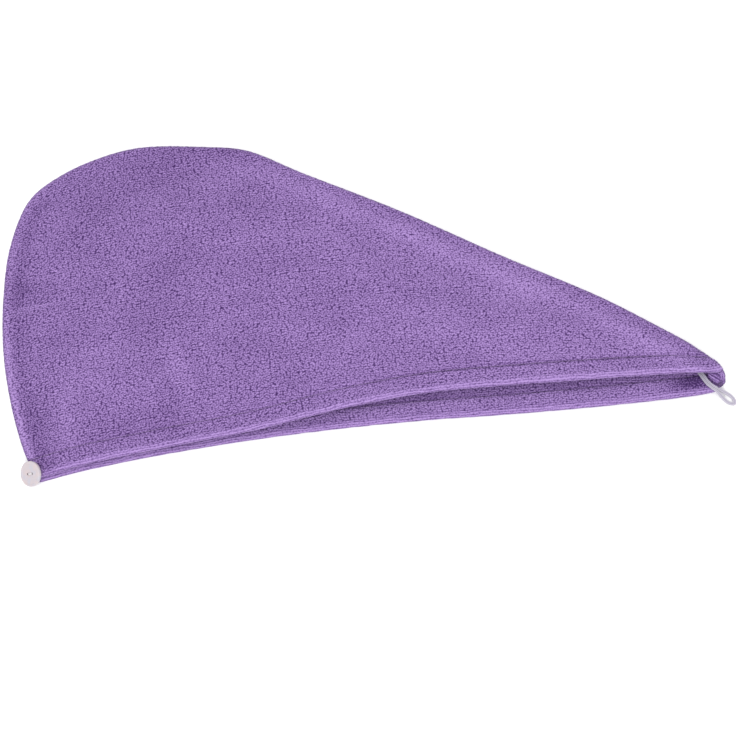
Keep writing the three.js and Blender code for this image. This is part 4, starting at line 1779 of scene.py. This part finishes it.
class NodeTree:
    """Geometry Nodes tree that is built by name, with named inputs."""

    def __init__(self, name: str, inputs: Sequence[tuple[str, str, float | int]]) -> None:
        """Makes the tree with its inputs, each a name, a kind of socket and a value.

        Args:
            name: Name of the tree.
            inputs: The inputs.
        """
        self.tree = bpy.data.node_groups.new(name, "GeometryNodeTree")
        new = self.tree.interface.new_socket
        new("Geometry", in_out="INPUT", socket_type="NodeSocketGeometry")
        new("Geometry", in_out="OUTPUT", socket_type="NodeSocketGeometry")
        for label, kind, value in inputs:
            new(label, in_out="INPUT", socket_type=f"NodeSocket{kind}").default_value = value
        self.start = self.tree.nodes.new("NodeGroupInput")
        self.end = self.tree.nodes.new("NodeGroupOutput")

    def add(
        self, kind: str, settings: dict[str, object] | None = None, **values: object
    ) -> bpy.types.Node:
        """Adds a node.

        Args:
            kind: Type of the node without its prefix GeometryNode, or a whole type name.
            settings: Properties of the node, set first.
            **values: Values or output sockets of its inputs, with _ for a space in a name.

        Returns:
            The node.
        """
        whole = kind if kind.startswith(("ShaderNode", "FunctionNode")) else f"GeometryNode{kind}"
        node = self.tree.nodes.new(whole)
        for key, value in (settings or {}).items():
            setattr(node, key, value)
        for key, value in values.items():
            socket = next(
                s for s in node.inputs if s.name == key.replace("_", " ") and s.enabled
            )
            if isinstance(value, bpy.types.NodeSocket):
                self.tree.links.new(value, socket)
            else:
                socket.default_value = value
        return node

    def given(self, label: str) -> bpy.types.NodeSocket:
        """Output socket of one of the tree's inputs."""
        return self.start.outputs[label]

    def finish(self, geometry: bpy.types.NodeSocket, material: bpy.types.Material) -> None:
        """Ends the tree in Realize Instances and Set Material.

        Args:
            geometry: Socket of what the tree makes.
            material: Its material.
        """
        real = self.add("RealizeInstances", Geometry=geometry)
        done = self.add("SetMaterial", Geometry=real.outputs[0], Material=material)
        self.tree.links.new(done.outputs[0], self.end.inputs[0])

    def run(self, piece: Piece, values: dict[str, float | int]) -> None:
        """Runs the tree on a piece and keeps the result as its plain mesh.

        Args:
            piece: The piece.
            values: Values of inputs by name.
        """
        modifier = piece.modifiers.new(self.tree.name, "NODES")
        modifier.node_group = self.tree
        names = {s.name: s.identifier for s in self.tree.interface.items_tree if s.in_out == "INPUT"}
        for label, value in values.items():
            modifier[names[label]] = value
        apply_modifiers(piece)


@dataclass
class Stitching:
    """A row of stitches that lies in the crease of a hem."""

    form: ClothForm
    layer: Layer
    pitch: float = 3.1 * MM
    stitch_length: float = 2.3 * MM
    thread_radius: float = 0.34 * MM
    lean: float = 0.10
    seed: int = 11
    end_share: float = 0.006
    line_steps: int = 320
    upper_sink: float = 0.75
    lower_rise: float = 0.15 * MM

    def line(self) -> Piece:
        """Line of the crease as a mesh of edges.

        Returns:
            The line.
        """
        s = self.form.sizes
        u = np.linspace(self.end_share, 1 - self.end_share, self.line_steps)
        face = self.form.outer(self.layer, u, np.full(len(u), s.hem_width + s.stitch_gap / 2))
        lift = self.lower_rise - s.thickness
        if self.layer is Layer.UPPER:
            lift = -self.upper_sink * s.crease_depth
        points = face.points + face.normals * lift
        mesh = bpy.data.meshes.new("stitch_line")
        mesh.from_pydata(points.tolist(), [(k, k + 1) for k in range(len(u) - 1)], [])
        return place_object("stitch_line", mesh)

    def tree(self, material: bpy.types.Material) -> NodeTree:
        """Nodes that lay one thin lens of thread per stitch along the line.

        Args:
            material: Material of the thread.

        Returns:
            The tree.
        """
        inputs = [
            ("Pitch", "Float", self.pitch),
            ("Stitch Length", "Float", self.stitch_length),
            ("Thread Radius", "Float", self.thread_radius),
            ("Lean", "Float", self.lean),
            ("Seed", "Int", self.seed),
        ]
        tree = NodeTree("stitches", inputs)
        curve = tree.add("MeshToCurve", Mesh=tree.given("Geometry"))
        evenly = tree.add(
            "ResampleCurve", {"mode": "LENGTH"}, Curve=curve.outputs[0], Length=tree.given("Pitch")
        )
        stitch = tree.add("MeshIcoSphere", Radius=1.0, Subdivisions=2)
        halved = tree.add(
            "ShaderNodeMath", {"operation": "MULTIPLY"}, Value=tree.given("Stitch Length")
        )
        halved.inputs[1].default_value = 0.5
        size = tree.add(
            "ShaderNodeCombineXYZ", X=halved.outputs[0],
            Y=tree.given("Thread Radius"), Z=tree.given("Thread Radius"),
        )
        tangent = tree.add("InputTangent")
        along = tree.add("FunctionNodeAlignRotationToVector", {"axis": "X"}, Vector=tangent.outputs[0])
        negative = tree.add("ShaderNodeMath", {"operation": "MULTIPLY"}, Value=tree.given("Lean"))
        negative.inputs[1].default_value = -1
        chance = tree.add(
            "FunctionNodeRandomValue", {"data_type": "FLOAT"},
            Min=negative.outputs[0], Max=tree.given("Lean"), Seed=tree.given("Seed"),
        )
        wobble = tree.add("ShaderNodeCombineXYZ", Z=chance.outputs[1])
        turned = tree.add(
            "FunctionNodeRotateRotation", {"rotation_space": "LOCAL"},
            Rotation=along.outputs[0], Rotate_By=wobble.outputs[0],
        )
        laid = tree.add(
            "InstanceOnPoints", Points=evenly.outputs[0], Instance=stitch.outputs[0],
            Rotation=turned.outputs[0], Scale=size.outputs[0],
        )
        tree.finish(laid.outputs[0], material)
        return tree

    def build(self, name: str, material: bpy.types.Material) -> Piece:
        """Makes the row of stitches.

        Args:
            name: Name of the piece.
            material: Material of the thread.

        Returns:
            The piece.
        """
        piece = self.line()
        self.tree(material).run(piece, {"Pitch": self.pitch, "Seed": self.seed})
        piece.name = name
        for polygon in piece.data.polygons:
            polygon.use_smooth = True
        return piece


class Sock:
    """A socket of a material that takes part in Python expressions."""

    def __init__(self, shader: "Shader", socket: bpy.types.NodeSocket) -> None:
        """Keeps the socket with its shader."""
        self.shader = shader
        self.socket = socket

    def __add__(self, other: "Sock | float") -> "Sock":
        """Sum."""
        return self.shader.math("ADD", self, other)

    def __sub__(self, other: "Sock | float") -> "Sock":
        """Difference."""
        return self.shader.math("SUBTRACT", self, other)

    def __rsub__(self, other: float) -> "Sock":
        """Difference from a number."""
        return self.shader.math("SUBTRACT", other, self)

    def __mul__(self, other: "Sock | float") -> "Sock":
        """Product."""
        return self.shader.math("MULTIPLY", self, other)

    __radd__ = __add__
    __rmul__ = __mul__


class Shader:
    """A material built from nodes around one principled shader."""

    def __init__(self, name: str) -> None:
        """Makes the material with its shader and its output.

        Args:
            name: Name of the material.
        """
        self.material = bpy.data.materials.new(name)
        self.material.use_nodes = True
        self.tree = self.material.node_tree
        self.tree.nodes.clear()
        self.output = self.tree.nodes.new("ShaderNodeOutputMaterial")
        self.principled = self.tree.nodes.new("ShaderNodeBsdfPrincipled")
        self.tree.links.new(self.principled.outputs[0], self.output.inputs["Surface"])

    def node(
        self, kind: str, settings: dict[str, object], values: dict[str | int, object], output: str | int = 0
    ) -> Sock:
        """Adds a node.

        Args:
            kind: Type of the node without its prefix ShaderNode.
            settings: Properties of the node, set first; stops are those of a ramp.
            values: Numbers, colours or sockets of its inputs.
            output: The output to give back.

        Returns:
            That output.
        """
        node = self.tree.nodes.new(f"ShaderNode{kind}")
        for key, value in settings.items():
            if key == "stops":
                self.set_stops(node, value)
            else:
                setattr(node, key, value)
        for key, value in values.items():
            if isinstance(value, Sock):
                self.tree.links.new(value.socket, node.inputs[key])
            else:
                node.inputs[key].default_value = value
        return Sock(self, node.outputs[output])

    @staticmethod
    def set_stops(node: bpy.types.Node, stops: Sequence[tuple[float, Colour]]) -> None:
        """Gives a ramp its stops.

        Args:
            node: The ramp.
            stops: Place and colour of each stop.
        """
        ramp = node.color_ramp
        while len(ramp.elements) < len(stops):
            ramp.elements.new(1.0)
        for element, (place, colour) in zip(ramp.elements, stops):
            element.position = place
            element.color = (*colour, 1)

    def math(self, operation: str, first: Sock | float, second: Sock | float) -> Sock:
        """Arithmetic on two values."""
        return self.node("Math", {"operation": operation}, {0: first, 1: second})

    def sine(self, value: Sock) -> Sock:
        """Sine of an angle."""
        return self.node("Math", {"operation": "SINE"}, {0: value})

    def clamp(self, value: Sock) -> Sock:
        """Value kept between 0 and 1."""
        return self.node("Clamp", {}, {"Value": value})

    def attribute(self, name: str, output: str) -> Sock:
        """Attribute of the piece."""
        return self.node("Attribute", {"attribute_name": name}, {}, output)

    def stretched(self, vector: Sock, scale: Place) -> Sock:
        """Coordinates scaled by axis."""
        return self.node("VectorMath", {"operation": "MULTIPLY"}, {0: vector, 1: scale})

    def shifted(self, vector: Sock, shift: Sock) -> Sock:
        """Coordinates moved by the same amount along every axis."""
        return self.node("VectorMath", {"operation": "ADD"}, {0: vector, 1: shift})

    def noise(
        self, vector: Sock, scale: float, detail: float, rough: float = 0.5, curl: float = 0.0
    ) -> Sock:
        """Fractal noise around one half.

        Args:
            vector: Coordinates.
            scale: Cells for each metre.
            detail: Number of finer octaves.
            rough: Strength of each octave, as a share of the one before.
            curl: How far the pattern is curled.

        Returns:
            The noise.
        """
        values = {"Vector": vector, "Scale": scale, "Detail": detail, "Roughness": rough}
        return self.node("TexNoise", {}, {**values, "Distortion": curl}, "Fac")

    def cells(self, vector: Sock, scale: float, scatter: float = 0.85) -> Sock:
        """Distance to the nearest of many scattered points."""
        values = {"Vector": vector, "Scale": scale, "Randomness": scatter}
        return self.node("TexVoronoi", {"voronoi_dimensions": "2D"}, values, "Distance")

    def ramp(self, value: Sock, stops: Sequence[tuple[float, Colour]]) -> Sock:
        """Colour read from a ramp."""
        return self.node("ValToRGB", {"stops": stops}, {"Fac": value}, "Color")

    def bump(self, height: Sock, distance: float, strength: float) -> Sock:
        """Normals of a fine relief."""
        values = {"Height": height, "Distance": distance, "Strength": strength}
        return self.node("Bump", {}, values, "Normal")

    def shade(self, values: dict[str, object]) -> bpy.types.Material:
        """Sets the shader's sockets and gives the material back.

        Args:
            values: Numbers, colours or sockets by the name of the shader's socket.

        Returns:
            The material.
        """
        for key, value in values.items():
            if isinstance(value, Sock):
                self.tree.links.new(value.socket, self.principled.inputs[key])
            else:
                self.principled.inputs[key].default_value = value
        return self.material


@dataclass(frozen=True)
class TerryFinish:
    """Dyed microfibre terry: painted light on the loop tops, painted shade in the gaps between them, soft
    sheen.
    """

    name: str
    # Colours of the painted shade in the gaps, of the middle and of the painted light on the loop tops
    deep: Colour = (0.042, 0.016, 0.089)
    middle: Colour = (0.167, 0.094, 0.266)
    tip: Colour = (0.353, 0.231, 0.508)
    loop_scale: float = 900.0
    loop_stretch: Place = (0.42, 1.0, 1.0)
    loop_turn: Place = (0.4, 0.3, 0.05)
    loop_shift: Place = (0.0, 0.0, 0.137)
    loop_curl: float = 0.7
    cell_scale: float = 760.0
    cell_bend: float = 6 * MM
    cell_stretch: Place = (0.66, 1.0, 1.0)
    fibre_scale: float = 2400.0
    cloud_scale: float = 30.0
    row_pitch: float = 2.4 * MM
    row_swing: float = 14.0
    row_swing_scale: float = 70.0
    swing_stretch: Place = (0.45, 1.0, 1.0)
    cloud_stretch: Place = (0.6, 1.0, 1.0)
    wisp_share: float = 0.4
    cell_share: float = 0.9
    cell_mean: float = 0.40
    loose_knots: float = 0.85
    loose_wave: float = 0.045
    row_knots: float = 0.6
    row_wave: float = 0.075
    mean_level: float = 0.52
    loop_contrast: float = 1.75
    pile_shading: float = 0.06
    fibre_contrast: float = 0.7
    cloud_contrast: float = 0.30

    def material(self) -> bpy.types.Material:
        """Makes the material.

        Returns:
            The material.
        """
        shader = Shader(self.name)
        pile, lines, tone = (shader.attribute(column, "Fac") for column in NAP)
        weft = shader.attribute("weft", "Vector")
        fibre = shader.noise(weft, self.fibre_scale, 2.0, 0.6)
        place = {"Vector": weft, "Rotation": self.loop_turn, "Location": self.loop_shift}
        turned = shader.node("Mapping", {}, place)
        wisps = shader.noise(
            shader.stretched(turned, self.loop_stretch), self.loop_scale, 0.0, curl=self.loop_curl
        )
        swing = shader.noise(shader.stretched(weft, self.swing_stretch), self.row_swing_scale, 2.0)
        bent = shader.shifted(weft, self.cell_bend * swing)
        cells = shader.cells(shader.stretched(bent, self.cell_stretch), self.cell_scale)
        knots = self.wisp_share * (wisps - 0.5) + self.cell_share * (self.cell_mean - cells)
        across = shader.node("SeparateXYZ", {}, {"Vector": weft}, "Y")
        turn = 2 * math.pi / self.row_pitch * across + self.row_swing * swing
        wave = shader.sine(turn)
        rows = self.row_knots * knots + self.row_wave * wave
        cloud = shader.noise(shader.stretched(weft, self.cloud_stretch), self.cloud_scale, 4.0, 0.55)
        loops = self.loose_knots * knots + self.loose_wave * wave + lines * (rows - knots)
        # Painted shade and light of the loops, and painted shade where the pile is low
        level = self.mean_level + self.loop_contrast * loops + self.pile_shading * pile
        level = level + self.fibre_contrast * (fibre - 0.5) + self.cloud_contrast * (cloud - 0.5) + tone
        stops = [(0.0, self.deep), (0.5, self.middle), (1.0, self.tip)]
        colour = shader.ramp(shader.clamp(level), stops)
        height = 0.3 * fibre + loops
        return shader.shade({
            "Base Color": colour,
            "Roughness": 0.95,
            "Specular IOR Level": 0.15,
            "Sheen Weight": 0.18,
            "Sheen Roughness": 0.45,
            "Sheen Tint": (0.85, 0.78, 0.95, 1),
            "Normal": shader.bump(height, 1.0 * MM, 0.6),
        })


@dataclass(frozen=True)
class PlasticFinish:
    """Pearly moulded plastic of the button."""

    name: str
    base: Colour = (0.455, 0.403, 0.429)
    cool: Colour = (0.42, 0.403, 0.455)
    warm: Colour = (0.48, 0.407, 0.416)
    cloud_scale: float = 160.0
    grain_scale: float = 900.0

    def material(self) -> bpy.types.Material:
        """Makes the material.

        Returns:
            The material.
        """
        shader = Shader(self.name)
        place = shader.node("TexCoord", {}, {}, "Object")
        cloud = shader.noise(place, self.cloud_scale, 3.0)
        grain = shader.noise(place, self.grain_scale, 2.0)
        stops = [(0.35, self.cool), (0.5, self.base), (0.65, self.warm)]
        return shader.shade({
            "Base Color": shader.ramp(cloud, stops),
            "Roughness": 0.22 + 0.16 * grain,
            "Coat Weight": 0.25,
            "Coat Roughness": 0.15,
            "Normal": shader.bump(grain, 0.05 * MM, 0.15),
        })


@dataclass(frozen=True)
class YarnFinish:
    """Spun or braided yarn: painted light on its ridges and painted shade in its grooves."""

    name: str
    # Colours of the painted shade in the grooves and of the painted light on the ridges
    groove: Colour
    ridge: Colour
    fibre_scale: float = 2600.0
    mean_level: float = 0.55
    ridge_shading: float = 0.40
    fibre_contrast: float = 0.5

    def material(self) -> bpy.types.Material:
        """Makes the material.

        Returns:
            The material.
        """
        shader = Shader(self.name)
        pile = shader.attribute("pile", "Fac")
        place = shader.node("TexCoord", {}, {}, "Object")
        fibre = shader.noise(place, self.fibre_scale, 3.0, 0.6)
        # Painted shade in the grooves and painted light on the ridges, from the relief
        level = self.mean_level + self.ridge_shading * pile + self.fibre_contrast * (fibre - 0.5)
        level = level + shader.attribute("tone", "Fac")
        colour = shader.ramp(shader.clamp(level), [(0.0, self.groove), (1.0, self.ridge)])
        return shader.shade({
            "Base Color": colour,
            "Roughness": 0.7,
            "Sheen Weight": 0.2,
            "Normal": shader.bump(fibre, 0.1 * MM, 0.4),
        })


@dataclass(frozen=True)
class Studio:
    """Pale floor, soft lights and the camera."""

    azimuth: float = -8.0
    elevation: float = 75.0
    distance: float = 1.591
    lens: float = 85.0
    target: Place = (0.00096, -0.08115, 0.0)
    floor_size: float = 14.0
    floor_drop: float = 0.1 * MM
    world: float = 1.0
    sensor_width: float = 36.0
    light_size: float = 1.8
    key_place: Place = (-0.65, -1.10, 1.95)
    key_power: float = 30.0
    back_place: Place = (0.5, 1.4, 1.8)
    back_power: float = 13.0

    def floor(self) -> None:
        """Makes the floor."""
        half = self.floor_size / 2
        mesh = bpy.data.meshes.new("floor")
        corners = [(x * half, y * half, -self.floor_drop) for x, y in ((-1, -1), (1, -1), (1, 1), (-1, 1))]
        mesh.from_pydata(corners, [], [(0, 1, 2, 3)])
        shader = Shader("floor_white")
        mesh.materials.append(shader.shade({"Base Color": (0.92, 0.92, 0.92, 1), "Roughness": 0.9}))
        place_object("floor", mesh)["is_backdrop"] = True

    def area_light(self, name: str, place: Place, size: float, power: float) -> None:
        """Adds one soft light that faces the towel.

        Args:
            name: Name of the light.
            place: Where it stands.
            size: Diameter of its disc.
            power: Power in watts.
        """
        light = bpy.data.lights.new(name, "AREA")
        light.shape, light.size, light.energy = "DISK", size, power
        lamp = bpy.data.objects.new(name, light)
        lamp.location = place
        lamp.rotation_euler = (-Vector(place)).to_track_quat("-Z", "Y").to_euler()
        bpy.context.scene.collection.objects.link(lamp)

    def camera(self) -> None:
        """Places the camera at the picture's angle."""
        a, e = math.radians(self.azimuth), math.radians(self.elevation)
        back = Vector((math.sin(a) * math.cos(e), -math.cos(a) * math.cos(e), math.sin(e)))
        data = bpy.data.cameras.new("camera")
        data.lens, data.sensor_width = self.lens, self.sensor_width
        camera = bpy.data.objects.new("camera", data)
        camera.location = Vector(self.target) + back * self.distance
        camera.rotation_euler = back.to_track_quat("Z", "Y").to_euler()
        bpy.context.scene.collection.objects.link(camera)
        bpy.context.scene.camera = camera

    def build(self) -> None:
        """Sets the studio up."""
        scene = bpy.context.scene
        scene.view_settings.view_transform = "Standard"
        world = bpy.data.worlds.new("studio")
        world.use_nodes = True
        world.node_tree.nodes["Background"].inputs["Strength"].default_value = self.world
        world.node_tree.nodes["Background"].inputs["Color"].default_value = (1, 1, 1, 1)
        scene.world = world
        self.floor()
        self.area_light("key", self.key_place, self.light_size, self.key_power)
        self.area_light("back", self.back_place, self.light_size, self.back_power)
        self.camera()


class Towel:
    """The whole towel: its two layers, hems, stitches, button and elastic loop."""

    def __init__(self, sizes: Sizes) -> None:
        """Works out the form and the relief of the cloth, and the finishes.

        Args:
            sizes: Sizes of the towel.
        """
        self.form = ClothForm(sizes)
        self.pile = Terry(pitch=3.2 * MM, run=1.5, spread=0.35, seed=7)
        self.rows = Terry(pitch=2.4 * MM, run=7.0, spread=0.25, seed=23)
        self.terry = TerryFinish("violet_terry").material()
        self.hem_terry = TerryFinish("violet_terry_hem", loop_scale=980.0).material()
        self.plastic = PlasticFinish("pearl_plastic").material()
        # Each yarn: colour of its painted groove shade, then of its painted ridge light
        self.cotton = YarnFinish("white_thread", (0.42, 0.40, 0.42), (0.66, 0.64, 0.66)).material()
        self.braid = YarnFinish("grey_elastic", (0.21, 0.19, 0.27), (0.46, 0.43, 0.50)).material()
        self.sewing = YarnFinish("violet_thread", (0.11, 0.06, 0.18), (0.33, 0.21, 0.46)).material()

    def cloth(self) -> list[Piece]:
        """Builds both layers and their hems.

        Returns:
            The pieces.
        """
        form, s = self.form, self.form.sizes
        upper = Panel(
            form, Layer.UPPER, self.pile, column_step=1.5 * MM, row_step=1.05 * MM,
            inner_column_step=4 * MM, inner_row_step=4 * MM, fine_band=0.0,
        )
        lower = Panel(
            form, Layer.LOWER, self.pile, column_step=4 * MM, row_step=4 * MM,
            inner_column_step=1.4 * MM, inner_row_step=3.3 * MM, fine_band=24 * MM,
        )
        upper_hem = Hem(form, Layer.UPPER, self.pile, self.rows).build("upper_hem_cloth")
        lower_hem = Hem(form, Layer.LOWER, self.pile, self.rows, row_reach=10 * MM)
        upper_hems = ["upper_hem_nape", "upper_hem_middle", "upper_hem_tail"]
        made = [
            dress(upper.build("upper_cloth"), self.terry, ["upper_panel"]),
            dress(lower.build("lower_cloth"), self.terry, ["lower_panel"]),
            dress(upper_hem, self.hem_terry, upper_hems),
            dress(lower_hem.build("lower_hem_cloth"), self.hem_terry, ["lower_hem"]),
        ]
        for layer, name in ((Layer.UPPER, "upper_stitches"), (Layer.LOWER, "lower_stitches")):
            stitches = Stitching(form, layer).build(name, self.sewing)
            made.append(dress(stitches, self.sewing, []))
        area = s.cloth_share * s.length * s.width
        curl = dress(TipCurl(form).build("tip_curl"), self.hem_terry, [])
        return [*made, curl]

    def fastening(self) -> list[Piece]:
        """Builds the button, its thread and the elastic loop.

        Returns:
            The pieces.
        """
        button = ButtonSet(self.form)
        return [
            dress(button.disc("button_disc"), self.plastic, ["button"]),
            dress(button.thread("button_threads"), self.cotton, ["button_thread"]),
            dress(ElasticLoop(self.form).build("elastic"), self.braid, ["elastic_loop"]),
        ]


def write_sizes() -> None:
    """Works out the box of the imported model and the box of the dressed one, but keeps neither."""
    boxes = {"cad": CAD_BOX, "visual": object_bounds()}
    {name: [list(corner) for corner in box] for name, box in boxes.items()}


def main() -> None:
    """Builds the towel piece by piece, then the studio around it."""
    logging.basicConfig(level=logging.INFO, format="%(name)s: %(message)s")
    towel = Towel(Sizes())
    towel.cloth()
    towel.fastening()
    Studio().build()
    write_sizes()


if __name__ == "__main__":
    main()
